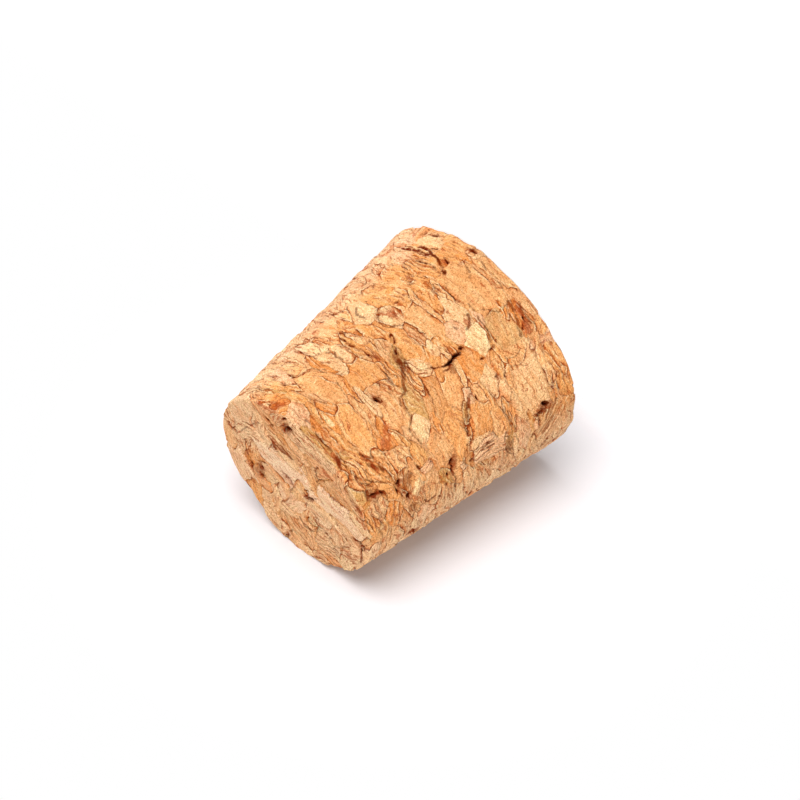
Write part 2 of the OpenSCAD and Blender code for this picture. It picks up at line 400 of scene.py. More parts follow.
SIDE_GRANULES = table_of(
    Granule,
    # Under the narrow rim
    (-66, 24.2, 3.6, 1.4, 3, T.BLUSH),
    (-47, 24.1, 3.2, 1.2, 4, T.HONEY, 0, 0.9),
    (-33, 24.8, 2.2, 0.7, 0, T.BEIGE),
    (-31, 23.25, 1.7, 1.8, 30, T.FAWN, 0.15),
    (-15.5, 23.5, 4.2, 1.3, 14, T.HONEY, 0.10, 1.0),
    (-7, 24.2, 2.4, 0.9, 0, T.STRAW, 0, 0.9),
    (9, 24.75, 3.8, 0.7, 0, T.OLIVE, 0, 0.8),
    (10, 23.55, 4.3, 0.8, -2, T.SIENNA, 0, 0.7),
    # Painted shadow at the left end of the orange granule above, given as a small olive granule
    (-2, 23.65, 1.0, 0.7, 20, T.OLIVE, 0.08),
    (29.5, 24.1, 2.0, 1.8, 0, T.BLUSH),
    (37, 24.4, 1.1, 1.3, 60, T.HONEY),
    (41.5, 23.9, 1.2, 1.7, 60, T.SIENNA, 0.10),
    (56, 24.2, 3.6, 1.3, -3, T.HONEY, 0, 0.8),
    # A little lower
    (-63, 22.4, 4.0, 1.4, -4, T.STRAW, 0.10, 0.9),
    (-50, 21.7, 3.8, 1.2, -10, T.AMBER, 0, 0.9),
    (-39.5, 22.9, 2.0, 1.7, 0, T.PALE, 0, 0.8),
    (-24, 21.7, 3.4, 1.2, 24, T.HONEY, 0, 1.0),
    (0, 21.4, 5.2, 2.6, -10, T.HONEY, 0, 0.35),
    (15, 22.4, 2.8, 0.9, -4, T.AMBER),
    (22, 21.7, 1.8, 1.2, 10, T.AMBER, 0.15),
    (37, 22.5, 3.2, 1.2, 4, T.STRAW, 0.10, 0.5),
    (58, 22.4, 3.6, 1.2, 0, T.HONEY, 0, 0.9),
    (-64, 20.4, 3.6, 1.4, 0, T.FAWN),
    (-37.5, 19.7, 3.1, 1.8, -12, T.FAWN, 0.25, 0.9),
    (-11, 19.4, 3.2, 1.9, -14, T.AMBER, 0.10, 0.3),
    (-23, 19.5, 2.8, 2.2, 24, T.PEACH, 0, 0.5),
    (-5, 20.1, 1.4, 0.9, 0, T.AMBER),
    (9, 19.5, 3.4, 1.0, -12, T.PEACH, 0, 0.2),
    (20, 18.8, 3.0, 0.8, -8, T.AMBER, 0.15, 1.0),
    (34, 20.4, 5.4, 2.1, 3, T.PEACH, 0, 0.2),
    (58, 20.3, 3.4, 1.6, 2, T.PEACH, 0.10, 0.7),
    # Upper middle
    (-67, 18.4, 3.0, 1.6, 0, T.BLUSH),
    (-51, 17.5, 3.2, 2.4, -6, T.BEIGE, 0.10, 0.8),
    (-43, 18.8, 2.3, 0.9, -42, T.PALE),
    (-37, 17.3, 1.6, 1.0, -70, T.BLUSH),
    (-28, 17.4, 3.2, 1.4, -8, T.STRAW, 0, 0.3),
    (-19, 16.1, 2.9, 1.4, -8, T.PALE, 0.10),
    (-4, 17.3, 3.8, 2.2, -10, T.PEACH, 0, 0.3),
    (12.8, 17.2, 1.0, 1.5, 10, T.BEIGE, 0.15),
    (21.5, 17.1, 3.3, 3.0, 0, T.HONEY, 0, 0.25),
    (37, 17.8, 3.4, 1.2, 3, T.PALE, 0.10, 0.8),
    (39, 16.4, 2.6, 1.0, -3, T.PALE, 0, 0.8),
    (58, 17.4, 3.4, 1.7, 0, T.PALE, 0, 0.7),
    (-63, 15.8, 4.0, 1.5, 0, T.BEIGE, 0, 0.7),
    (-35, 15.3, 4.2, 2.4, -4, T.PEACH, 0, 0.3),
    (-20.5, 14.3, 2.6, 0.9, -4, T.AMBER, 0, 0.8),
    (-5, 15.25, 2.6, 1.7, 4, T.OLIVE, 0.10, 0.5),
    (8, 16.3, 2.8, 1.1, 16, T.PEACH, 0, 0.9),
    (14, 15.0, 3.2, 0.9, -4, T.AMBER, 0.10, 1.0),
    (28.5, 14.6, 3.2, 1.3, 4, T.HONEY, 0, 0.8),
    (38.5, 14.4, 3.0, 0.8, 2, T.PALE, 0.10, 0.8),
    (53, 15.6, 3.4, 1.3, 0, T.PEACH, 0, 0.8),
    # Middle
    (-63, 13.2, 4.2, 1.5, 0, T.PALE, 0, 0.5),
    (-48, 12.5, 2.6, 1.1, -10, T.FAWN, 0.15, 0.7),
    (-32, 13.1, 4.6, 1.6, -2, T.HONEY, 0, 0.3),
    (-11, 13.2, 3.6, 2.2, -8, T.FAWN, 0, 0.3),
    (3, 13.95, 3.6, 0.8, -2, T.AMBER, 0, 1.0),
    (15.6, 13.5, 1.7, 1.0, -18, T.OLIVE, 0.25),
    (25, 13.7, 1.9, 1.2, -10, T.BEIGE, 0.10),
    (6, 12.2, 1.8, 1.3, 42, T.PALE, 0, 1.0),
    (35, 13.0, 3.6, 1.2, 6, T.HONEY, 0, 0.6),
    (52, 13.6, 4.0, 1.2, 0, T.HONEY, 0.10, 0.8),
    (-64, 11.1, 4.4, 2.4, 22, T.FAWN, 0.10, 1.0),
    (-50.0, 10.6, 4.4, 2.7, 86, T.BLUSH, 0.06, 1.0),
    (-42.5, 11.2, 1.2, 2.6, 12, T.PALE),
    (-32, 10.1, 4.0, 2.8, -6, T.HONEY, 0, 0.3),
    (-27, 11.5, 3.0, 0.6, -20, T.OLIVE, 0.15),
    (-12, 11.2, 3.8, 2.2, -14, T.PEACH, 0, 0.2),
    (13, 11.7, 4.0, 1.6, -3, T.HONEY, 0, 0.5),
    (18, 10.4, 2.6, 0.9, 0, T.BEIGE, 0.10),
    (9, 10.4, 1.4, 0.8, -20, T.PALE),
    (36, 10.9, 2.6, 2.0, 0, T.PALE, 0.10, 0.8),
    (50, 11.6, 3.2, 1.9, 0, T.PALE, 0, 0.3),
    # Lower middle
    (-57.0, 8.1, 3.0, 1.0, 3, T.OLIVE, 0.25, 0.9),
    (-66, 9.4, 3.0, 1.4, 10, T.BEIGE),
    (-24, 9.5, 1.9, 1.8, 0, T.PEACH, 0, 0.9),
    (-7.5, 8.25, 2.9, 2.1, 10, T.AMBER, 0.10, 0.3),
    (6, 9.0, 3.0, 1.1, 4, T.HONEY, 0, 1.0),
    (21, 9.1, 3.8, 1.8, 2, T.PEACH, 0, 0.3),
    (38, 9.0, 2.8, 1.5, 0, T.HONEY, 0, 0.7),
    (53, 9.0, 2.8, 2.0, 0, T.STRAW, 0.10, 0.6),
    (-58, 6.5, 4.6, 1.6, 2, T.BLUSH),
    (-40, 7.2, 3.6, 0.8, -4, T.HONEY, 0.15, 1.0),
    (-20, 7.55, 2.6, 1.3, -3, T.PALE, 0.10),
    (-14, 6.3, 2.4, 1.2, -8, T.HONEY),
    (-0.5, 6.5, 3.4, 1.9, 6, T.CREAM, 0, 0.15),
    (14.5, 6.3, 3.2, 2.0, -4, T.PALE, 0, 0.25),
    (29, 6.9, 4.0, 1.3, -2, T.HONEY, 0.10, 0.9),
    (29, 7.9, 4.4, 0.6, -4, T.PEACH, 0, 0.6),
    (40, 5.7, 3.6, 0.8, 4, T.HONEY, 0, 1.0),
    (54, 6.6, 3.8, 1.3, 0, T.HONEY, 0, 0.8),
    # Towards the wide rim
    (-62, 3.2, 4.6, 3.2, -38, T.FAWN, 0.10, 1.0),
    (-55.5, 4.9, 1.8, 0.7, -6, T.BLUSH, -0.05),
    (-49, 4.1, 1.2, 1.4, 30, T.SIENNA, 0.25),
    (-33.5, 4.3, 6.2, 5.0, 0, T.PALE, -0.10, 0.12),
    (-17.5, 4.4, 2.2, 2.4, 30, T.PEACH, 0, 0.9),
    (-3.5, 4.0, 4.2, 2.5, -8, T.KHAKI, 0.15, 0.3),
    (18.5, 3.3, 6.4, 4.1, -4, T.PEACH, -0.06, 0.2),
    (36.8, 3.0, 1.1, 0.9, -10, T.SIENNA, 0.15),
    (46, 3.75, 4.2, 0.7, 2, T.HONEY, 0.15, 0.9),
    (60, 4.4, 3.2, 1.4, 0, T.BLUSH, 0, 0.7),
    (-60, 0.9, 4.0, 1.6, 0, T.FAWN, 0, 0.8),
    (-43, 1.0, 3.2, 1.5, 10, T.STRAW, 0.10, 0.8),
    (-29, 1.1, 3.6, 1.5, 2, T.HONEY, 0, 0.9),
    (-8, 1.7, 3.2, 1.1, -4, T.SIENNA, 0.15, 0.8),
    (-1, 0.5, 3.0, 0.9, 0, T.BEIGE),
    (17, 0.5, 4.6, 1.1, -2, T.PEACH, 0, 0.3),
    (39.5, 1.6, 2.4, 2.6, 0, T.HONEY, 0, 0.3),
    (52, 1.6, 4.0, 1.9, 0, T.PALE, 0, 0.3),
    (68, 2.4, 3.0, 2.0, 0, T.BLUSH),
)

END_GRANULES = table_of(
    Granule,
    (-4.6, -3.9, 7.2, 3.0, 12, T.ROSE, 0, 0.15),
    (2.9, 0.0, 8.6, 3.6, 22, T.ROSE, 0, 0.10),
    (8.4, -0.9, 2.8, 6.2, 0, T.BEIGE, 0.03, 0.3),
    (-2.7, -6.1, 3.9, 3.0, 4, T.FAWN, 0.10, 0.3),
    (3.6, -3.5, 5.0, 2.1, 8, T.FAWN, 0.10, 0.9),
    (-6.6, 3.4, 3.4, 2.5, 30, T.BEIGE, 0.10, 0.9),
    (-6.5, 2.2, 1.0, 0.8, 0, T.OLIVE, 0.05),
    (-3.4, 2.9, 1.2, 1.0, 20, T.OLIVE, 0.05),
    (-1.2, 2.6, 3.2, 1.8, 80, T.BLUSH, 0, 0.3),
    (-3.45, 6.4, 4.8, 2.9, -8, T.BEIGE, 0.10, 0.8),
    (1.2, 6.7, 3.0, 1.2, 78, T.BEIGE),
    (4.9, 6.3, 4.8, 3.0, -34, T.BLUSH, 0, 0.4),
    (2.6, 3.5, 3.3, 2.1, 10, T.BEIGE, 0.10, 0.4),
    (6.7, 3.3, 2.8, 1.5, -20, T.BEIGE, 0.10, 0.7),
    (-8.7, -1.3, 3.4, 1.5, 70, T.HONEY, 0, 0.8),
    (-8.9, -5.4, 4.6, 1.5, 72, T.STRAW, 0, 0.8),
    (7.6, -6.4, 3.4, 2.8, 50, T.AMBER, 0.02, 0.9),
    (1.4, -8.5, 5.2, 1.2, 8, T.BEIGE, 0, 1.0),
    (-5.3, -8.5, 3.8, 1.5, -6, T.OLIVE, 0.03, 0.8),
    (2.9, -6.5, 3.4, 1.3, 12, T.BEIGE, 0, 1.0),
    (-1.0, 8.7, 3.6, 1.6, 0, T.BEIGE, 0, 0.8),
    (-6.6, 6.0, 2.6, 1.8, 40, T.FAWN, 0.02, 0.9),
    (-4.0, 0.2, 4.3, 1.6, 24, T.BEIGE, 0.10, 0.9),
    (-8.2, 0.9, 2.2, 1.8, 60, T.FAWN, 0.02, 0.8),
)

SIDE_HOLLOWS = table_of(
    Hollow,
    (0.8, 8.25, 0.5, 0.34, 60, 0.4),
    (7.4, 17.65, 1.1, 0.42, 16, 0.7),
    (-43.2, 14.55, 0.9, 0.75, -20, 0.7),
    (-48.0, 14.85, 1.8, 0.30, -5, 0.4),
    (-45.5, 19.95, 0.65, 0.52, 20, 0.7),
    (-34.8, 20.35, 0.75, 0.48, -30, 0.6),
    (-38.8, 20.85, 0.40, 0.28, 0, 0.4),
    (-41.6, 20.3, 0.30, 0.26, 0, 0.3),
    (-34.0, 18.0, 0.65, 0.26, 20, 0.4),
    (-35.5, 16.6, 0.40, 0.22, 0, 0.3),
    (-31.6, 23.2, 0.9, 0.30, 78, 0.5),
    (-33.8, 22.35, 0.8, 0.24, 25, 0.45),
    (-54.8, 4.45, 1.9, 0.42, -6, 0.8),
    (-51.2, 4.0, 0.7, 0.50, 60, 0.8),
    (-46.6, 3.5, 1.35, 0.60, 40, 0.8),
    (-48.6, 5.0, 0.4, 0.22, 10, 0.3),
    (-48.6, 2.2, 0.5, 0.18, 40, 0.3),
    (-50.8, 12.5, 0.5, 0.30, 60, 0.4),
    (-71.0, 9.15, 0.9, 0.30, 8, 0.5),
    (-9.4, 7.25, 0.55, 0.22, 66, 0.4),
    (-8.5, 6.0, 0.35, 0.18, 90, 0.3),
    (-20.0, 7.0, 0.35, 0.28, 0, 0.35),
    (-22.3, 6.2, 0.45, 0.20, 10, 0.25),
    (-22.4, 9.8, 0.65, 0.20, 6, 0.3),
    (-35.0, 12.05, 0.40, 0.24, 0, 0.35),
    (-6.0, 1.6, 1.2, 0.18, -10, 0.4),
    (-9.6, 2.2, 0.8, 0.16, -25, 0.3),
    (28.0, 15.1, 0.6, 0.20, 0, 0.3),
    (39.0, 15.3, 1.0, 0.26, 0, 0.5),
    (44.0, 15.3, 1.1, 0.22, 0, 0.45),
    (48.2, 14.6, 0.55, 0.36, 70, 0.6),
    (50.6, 22.1, 0.6, 0.24, 0, 0.45),
    (51.2, 20.9, 0.7, 0.34, 8, 0.5),
    (62.0, 18.1, 1.5, 0.24, 2, 0.45),
    (64.0, 21.6, 1.3, 0.18, 2, 0.3),
    (32.9, 4.0, 0.65, 0.40, 0, 0.7),
    (31.0, 0.55, 0.9, 0.26, 4, 0.4),
    (36.8, 2.8, 0.8, 0.24, -10, 0.35),
    (51.0, 2.72, 1.2, 0.20, 2, 0.35),
    (54.0, 0.8, 1.4, 0.34, 8, 0.4),
    (60.5, 0.9, 0.7, 0.30, 40, 0.4),
    (60.5, 3.25, 1.4, 0.20, 0, 0.4),
    (65.6, 12.8, 0.7, 0.28, 10, 0.4),
    (62.5, 12.4, 0.7, 0.18, 10, 0.3),
    (67.0, 9.8, 0.7, 0.24, 8, 0.3),
    (39.0, 9.15, 0.5, 0.20, 70, 0.3),
    (34.4, 10.3, 0.8, 0.20, -30, 0.25),
    (-10.4, 22.05, 0.5, 0.16, 30, 0.35),
    (-57.8, 17.7, 0.9, 0.20, 90, 0.35),
    (-48.7, 15.5, 0.5, 0.24, 0, 0.3),
    (-60.3, 16.6, 0.4, 0.22, 0, 0.3),
    (-55.0, 15.7, 0.5, 0.18, 0, 0.25),
)

END_HOLLOWS = table_of(
    Hollow,
    (0.85, 0.45, 1.4, 0.62, -14, 0.6),
    (-1.75, -0.9, 1.3, 0.42, 60, 0.6),
    (-1.0, -1.2, 0.8, 0.20, 60, 0.3),
    (2.7, 4.75, 0.9, 0.60, 75, 0.35),
    (4.25, 5.05, 1.1, 0.46, -50, 0.5),
    (3.5, 3.5, 0.9, 0.75, 20, 0.45),
    (8.3, 2.85, 1.1, 0.50, 20, 0.6),
    (4.45, -7.1, 1.8, 0.62, 86, 0.8),
    (-7.95, -2.95, 1.4, 0.60, 30, 0.7),
    (-8.7, -2.1, 1.5, 0.34, -50, 0.4),
    (-3.7, 3.8, 1.5, 0.26, 24, 0.25),
    (-5.45, 1.75, 0.7, 0.22, 8, 0.25),
    (-3.5, 0.95, 0.8, 0.22, -14, 0.25),
    (2.7, -3.15, 0.9, 0.30, 0, 0.25),
    (4.3, -2.45, 1.5, 0.24, 14, 0.22),
    (5.7, -4.5, 0.9, 0.24, 74, 0.3),
    (6.3, -4.75, 0.6, 0.30, 0, 0.3),
    (-3.2, 9.2, 1.5, 0.34, 92, 0.5),
    (-6.35, 7.3, 1.2, 0.26, 70, 0.4),
    (-5.3, -7.85, 0.6, 0.24, 10, 0.25),
    (-6.9, -8.2, 0.9, 0.30, 5, 0.3),
    (5.4, -7.9, 0.9, 0.30, 80, 0.3),
    (0.0, -6.4, 0.8, 0.18, 84, 0.25),
)

SIDE_STAINS = table_of(
    Stain,
    (-37.5, 19.7, 2.9, 1.5, -12, T.UMBER),
    (-45.2, 14.6, 1.9, 0.8, -6, T.UMBER),
    (15.5, 13.6, 1.6, 0.9, -16, T.UMBER),
    # Painted shade in the hollow below the central crack, given as an umber stain
    (-4.4, 10.2, 1.2, 0.9, -15, T.UMBER),
    (-56.5, 8.1, 3.4, 0.7, 3, T.UMBER),
    (-27, 11.5, 2.8, 0.5, -20, T.UMBER),
    (-31, 23.2, 1.6, 1.7, 20, T.UMBER),
    (-49, 3.9, 1.7, 1.0, 30, T.UMBER),
    (-54.4, 19.8, 1.3, 1.0, 0, T.UMBER),
    (-62, 3.4, 2.2, 0.5, -38, T.UMBER),
    (-13, 19.7, 1.5, 1.25, -10, T.RUST),
    (-7.4, 18.8, 1.2, 0.9, -35, T.RUST),
    (-3, 1.5, 2.2, 0.6, -8, T.RUST),
    (-9, 1.8, 2.0, 0.8, -6, T.RUST),
    (-12, 22.1, 1.8, 0.5, 20, T.RUST),
    (-5, 24.4, 2.0, 0.5, -4, T.RUST),
    (-19, 21.8, 1.9, 0.5, 16, T.RUST),
    (7.5, 6.2, 1.2, 0.6, -20, T.RUST),
    (37, 3.0, 1.0, 0.7, -10, T.RUST),
    (34.5, 10.3, 1.3, 0.6, -20, T.RUST),
    (37, 10.9, 1.6, 1.2, 20, T.RUST),
    (66, 15.5, 0.8, 0.4, 0, T.RUST),
    (24.5, 14.9, 1.6, 0.4, 2, T.RUST),
    (42, 24.1, 1.2, 0.9, 40, T.RUST),
    (-17.6, 16.2, 1.9, 0.9, -10, T.CREAM),
    (-21.5, 16.0, 1.1, 0.7, 20, T.CREAM),
    (10, 10.5, 1.2, 0.5, -20, T.CREAM),
    (9.6, 9.7, 1.8, 0.3, 4, T.CREAM),
    (36, 11.2, 1.8, 0.8, 10, T.CREAM),
    (15, 22.5, 1.4, 0.5, 0, T.CREAM),
    (5, 12.4, 1.4, 0.7, 42, T.CREAM),
    # Painted highlight along the lit edge of a granule's ledge, given as a thin cream stain
    (2.8, 2.7, 1.4, 0.25, -40, T.CREAM),
    (-42.5, 18.8, 1.8, 0.5, -42, T.CREAM),
)

END_STAINS = table_of(
    Stain,
    (-0.9, -7.3, 1.4, 0.8, 10, T.RUST),
    (7.6, -6.4, 2.6, 1.2, 50, T.RUST),
    (-3.4, 2.9, 1.0, 0.8, 20, T.UMBER),
    (-6.5, 2.2, 0.9, 0.6, 0, T.UMBER),
    (2.9, -3.1, 2.2, 0.6, 10, T.UMBER),
    (3.4, 4.4, 1.8, 1.4, 60, T.UMBER),
    (-5.2, -7.9, 2.4, 0.7, 0, T.UMBER),
    (8.2, 2.8, 1.4, 0.8, 20, T.RUST),
    (4.6, -7.2, 1.0, 2.0, 0, T.UMBER),
)

SIDE_VEINS = table_of(
    Vein,
    (((-62, 14.65), (-55, 14.7), (-46, 14.9)), 0.14, 0.8),
    (((-34, 12.05), (-31, 11.6), (-25, 11.1), (-20, 10.6), (-16, 10.0)), 0.15, 0.8),
    (((-66, 7.7), (-60, 8.5), (-55, 8.65), (-48, 8.3)), 0.11, 0.7),
    (((-65, 7.5), (-56, 7.5), (-50, 7.9)), 0.10, 0.5),
    (((-60, 7.0), (-50, 7.25), (-42, 7.6), (-38, 7.5)), 0.12, 0.6),
    (((-43, 6.2), (-39, 6.7), (-34, 7.0), (-30, 6.3), (-28, 5.9)), 0.10, 0.5),
    (((-9, 5.8), (-5, 5.65), (0, 5.25), (6, 5.2), (9, 5.0)), 0.14, 0.7),
    (((3.0, 2.2), (2.6, 3.0), (5, 3.6), (8, 4.3), (9, 5.0), (14, 5.0)), 0.12, 0.6),
    (((5.6, 6.7), (7, 6.1), (9, 5.75), (10.5, 5.6)), 0.16, 0.8),
    (((5.5, 7.2), (8, 7.35), (10, 7.5)), 0.11, 0.6),
    (((15, 5.2), (19, 5.6), (24, 5.4), (27, 5.0), (28, 4.6)), 0.10, 0.5),
    (((-24, 4.0), (-21, 4.8), (-20, 5.3)), 0.08, 0.4),
    (((-17, 5.0), (-18, 4.2), (-16, 3.6)), 0.08, 0.5),
    (((34, 4.0), (37, 4.15), (42, 4.1), (49, 4.4)), 0.16, 1.0),
    (((35, 3.6), (41, 3.1), (46, 3.0), (50, 3.2), (56, 3.25), (64, 3.3)), 0.18, 1.0),
    (((46, 2.9), (49, 2.65), (55, 2.75)), 0.15, 1.0),
    (((8, 1.4), (14, 1.05), (18, 1.2), (22, 1.05), (30, 0.6)), 0.09, 0.5),
    (((22, 3.0), (24, 2.5), (26, 2.2), (28, 2.2)), 0.12, 0.6),
    (((28, 6.1), (32, 5.6), (37, 5.4), (42, 5.8), (52, 5.95), (62, 5.6)), 0.10, 0.6),
    (((20, 7.3), (26, 7.7), (31, 7.4), (38, 6.9)), 0.07, 0.4),
    (((30, 8.5), (36, 8.0), (42, 7.3)), 0.08, 0.7),
    (((4, 8.3), (10, 8.25), (17, 7.9), (24, 8.3)), 0.07, 0.5),
    (((5, 9.4), (10, 9.6), (16, 9.9), (22, 10.2), (26, 10.6), (30, 11.1)), 0.09, 0.6),
    (((30, 11.1), (32, 11.7), (38, 11.8), (42, 11.1)), 0.12, 0.7),
    (((28, 12.2), (26.6, 12.4), (23.2, 12.8), (19.2, 13.2), (15.2, 13.6)), 0.15, 1.0),
    (((15.5, 13.6), (12, 13.6), (8.4, 14.3), (3.6, 15.1), (1, 15.2)), 0.28, 0.8),
    (((-46.5, 11.2), (-47.0, 10.4), (-47.5, 9.9)), 0.12, 0.8),
    (((-48.5, 11.4), (-49.0, 10.5), (-49.3, 9.9)), 0.12, 0.8),
    (((-50.6, 11.3), (-50.9, 10.4)), 0.10, 0.7),
    (((-27.0, 23.6), (-31.0, 23.1), (-33.0, 22.3), (-36.5, 21.9), (-41.0, 21.9)), 0.15, 0.9),
    (((-25.5, 24.0), (-30.0, 23.6), (-33.5, 23.1)), 0.12, 0.8),
    (((-37.0, 23.9), (-41.0, 23.8), (-44.0, 23.0)), 0.10, 0.6),
    (((-10, 13.6), (-5, 13.5), (0, 13.3), (5, 13.4), (10, 13.4), (14, 13.1)), 0.11, 0.9),
    (((-17, 14.2), (-10, 13.6)), 0.08, 0.6),
    (((4, 15.3), (8, 15.6), (14, 15.3), (20, 15.5)), 0.12, 0.6),
    (((-10, 16.2), (-5, 16.3), (-2, 16.4), (0.8, 16.0), (1.6, 15.2)), 0.13, 0.6),
    (((5, 16.0), (9, 16.2), (13, 16.6)), 0.07, 0.4),
    (((22, 14.8), (26, 15.0), (29, 15.1)), 0.14, 0.7),
    (((26, 14.0), (32, 14.0), (37, 14.2), (45, 14.2)), 0.09, 0.6),
    (((36, 17.0), (40, 17.1), (43, 16.7)), 0.13, 0.7),
    (((30, 16.0), (30, 18.3)), 0.07, 0.4),
    (((20, 19.6), (28, 19.1), (35, 18.9), (40, 19.2), (48, 19.3), (52, 19.6)), 0.10, 0.6),
    (((35, 17.9), (42, 18.1), (48, 18.2)), 0.07, 0.5),
    (((-23, 21.2), (-20, 21.5), (-17, 22.0), (-15, 22.2)), 0.26, 0.7),
    (((-14, 21.3), (-12, 22.0), (-8.5, 22.3)), 0.16, 0.7),
    (((-33, 21.2), (-28, 22.0), (-24, 22.9), (-18, 23.8), (-12, 24.0), (-5, 23.9)), 0.12, 0.7),
    (((-31, 21.0), (-25, 21.5), (-21, 22.4), (-16, 22.9)), 0.09, 0.6),
    (((-27, 22.9), (-22, 23.8), (-16, 24.4), (-8, 24.5)), 0.10, 0.6),
    (((-9, 24.7), (-5, 24.5), (-1, 24.15)), 0.26, 0.9),
    (((-1, 24.15), (6, 24.3), (12, 24.2), (18, 23.9), (24, 23.9)), 0.14, 0.7),
    (((-4, 23.2), (4, 23.15), (14, 22.8), (20, 22.6)), 0.08, 0.5),
    (((-50, 24.3), (-45, 24.6), (-40, 24.8)), 0.13, 0.7),
    (((-54, 23.2), (-46, 23.4), (-40, 23.8)), 0.11, 0.6),
    (((-55, 18.3), (-58, 18.2), (-58, 17.6), (-57, 17.1)), 0.14, 0.8),
    (((-62, 19.8), (-52, 19.6)), 0.14, 0.6),
    (((-10, 16.1), (-13, 16.6), (-15, 17.05), (-20, 16.9), (-25, 16.8)), 0.12, 0.6),
    (((-30, 19.7), (-25, 20.1), (-19, 20.7)), 0.07, 0.5),
    (((-35, 17.9), (-28, 18.0), (-22, 17.8), (-18, 17.3)), 0.07, 0.4),
    (((-12, 2.9), (-8, 2.4), (-3, 2.0), (3, 1.85)), 0.20, 0.7),
    (((-10, 1.3), (-5, 1.35), (0, 1.1)), 0.14, 0.7),
    (((45, 24.7), (55, 24.75), (62, 24.5), (68, 23.9)), 0.10, 0.8),
    (((45, 23.5), (58, 23.2), (68, 23.5)), 0.10, 0.5),
    (((44, 12.35), (52, 12.2), (54.5, 11.6)), 0.13, 0.7),
    (((40, 10.9), (46, 10.9), (55, 10.4)), 0.07, 0.5),
    (((50, 9.2), (56, 9.0), (61, 8.1)), 0.10, 0.6),
    (((-44, 13.4), (-34, 13.9), (-24, 14.0)), 0.06, 0.4),
    (((-58, 13.3), (-52, 13.4), (-47, 13.1)), 0.10, 0.6),
    (((-63, 10.0), (-60, 11.0), (-54, 12.1), (-50, 12.8)), 0.12, 0.5),
    (((-35, 8.4), (-29, 8.3), (-22, 8.6)), 0.08, 0.5),
)

END_VEINS = table_of(
    Vein,
    (((-9.3, -0.6), (-8.9, -1.9), (-8.2, -2.7)), 0.16, 0.8),
    (((-7.4, -2.5), (-6.9, -1.9), (-6.2, -1.4), (-5.4, -0.7)), 0.12, 0.6),
    (((-4.4, 3.5), (-3.5, 4.2), (-2.7, 4.0)), 0.20, 0.6),
    (((2.3, -3.3), (3.2, -2.7), (4.2, -2.2), (5.0, -2.4)), 0.26, 0.6),
    (((7.2, 1.8), (7.1, 0.4), (6.9, -1.5), (6.5, -3.2)), 0.11, 0.6),
    (((-3.3, 9.4), (-3.1, 8.2), (-3.0, 7.3)), 0.13, 0.8),
    (((-7.4, -5.6), (-6.0, -5.9), (-5.0, -5.7), (-4.4, -5.0), (-2.0, -4.4)), 0.09, 0.5),
    (((-1.0, -4.1), (-0.8, -5.0), (0.0, -6.2), (0.0, -6.8)), 0.14, 0.7),
    (((0.6, -5.9), (2.0, -5.0), (3.6, -4.8), (5.4, -5.2)), 0.10, 0.5),
    (((3.7, 5.4), (4.6, 4.5), (5.5, 3.7), (5.6, 2.8)), 0.11, 0.5),
    (((5.3, 2.7), (6.4, 2.7), (7.2, 2.6), (8.2, 2.7)), 0.14, 0.6),
    (((-0.2, 1.6), (0.1, 1.0), (0.0, 0.3)), 0.12, 0.6),
    (((-2.1, -1.9), (-1.9, -1.0), (-1.8, -0.4), (-0.8, -0.4)), 0.16, 0.7),
    (((-3.6, 7.2), (-2.2, 6.8), (-1.2, 6.3)), 0.10, 0.5),
    (((-7.3, -7.0), (-5.8, -6.7), (-4.6, -6.8)), 0.14, 0.5),
    (((-0.3, 0.0), (1.6, 0.9), (4.0, 1.9), (6.8, 2.4)), 0.07, 0.4),
    (((1.4, -1.9), (3.4, -1.9), (5.6, -1.7)), 0.08, 0.4),
    (((-5.6, 4.8), (-4.2, 4.6), (-3.0, 5.0)), 0.10, 0.5),
    (((1.5, 6.2), (2.4, 6.0), (3.6, 5.4)), 0.10, 0.5),
    (((-8.4, 3.2), (-7.2, 2.6), (-5.8, 1.9)), 0.10, 0.5),
)

CRACKS = table_of(
    Crack,
    (((-1.0, 8.7), (-0.2, 9.3), (-1.5, 9.9), (-1.0, 10.6), (0.2, 11.0)), 0.105, 0.8),
    (((0.2, 11.0), (1.4, 11.5), (3.0, 11.7)), 0.07, 0.5),
    (((-1.5, 9.9), (-3.4, 10.5), (-3.0, 11.1)), 0.10, 0.4),
    (((27.5, 12.1), (24.8, 12.3), (21.5, 12.75), (19.0, 13.1)), 0.10, 0.35),
)

RIM_WEAR = table_of(
    Wear,
    (Part.WIDE, -55, 34, 0.16),
    (Part.WIDE, -62, 7, -0.30),
    (Part.WIDE, -24, 6, -0.20),
    (Part.WIDE, -30, 5, 0.14),
    (Part.WIDE, 30, 6, 0.16),
    (Part.WIDE, 14, 5, -0.14),
    (Part.WIDE, 38, 5, -0.16),
    (Part.WIDE, 56, 6, -0.16),
    (Part.NARROW, 150, 24, -0.26),
    (Part.NARROW, 165, 10, -0.20),
    (Part.NARROW, 198, 16, 0.30),
    (Part.NARROW, 244, 14, -0.16),
)


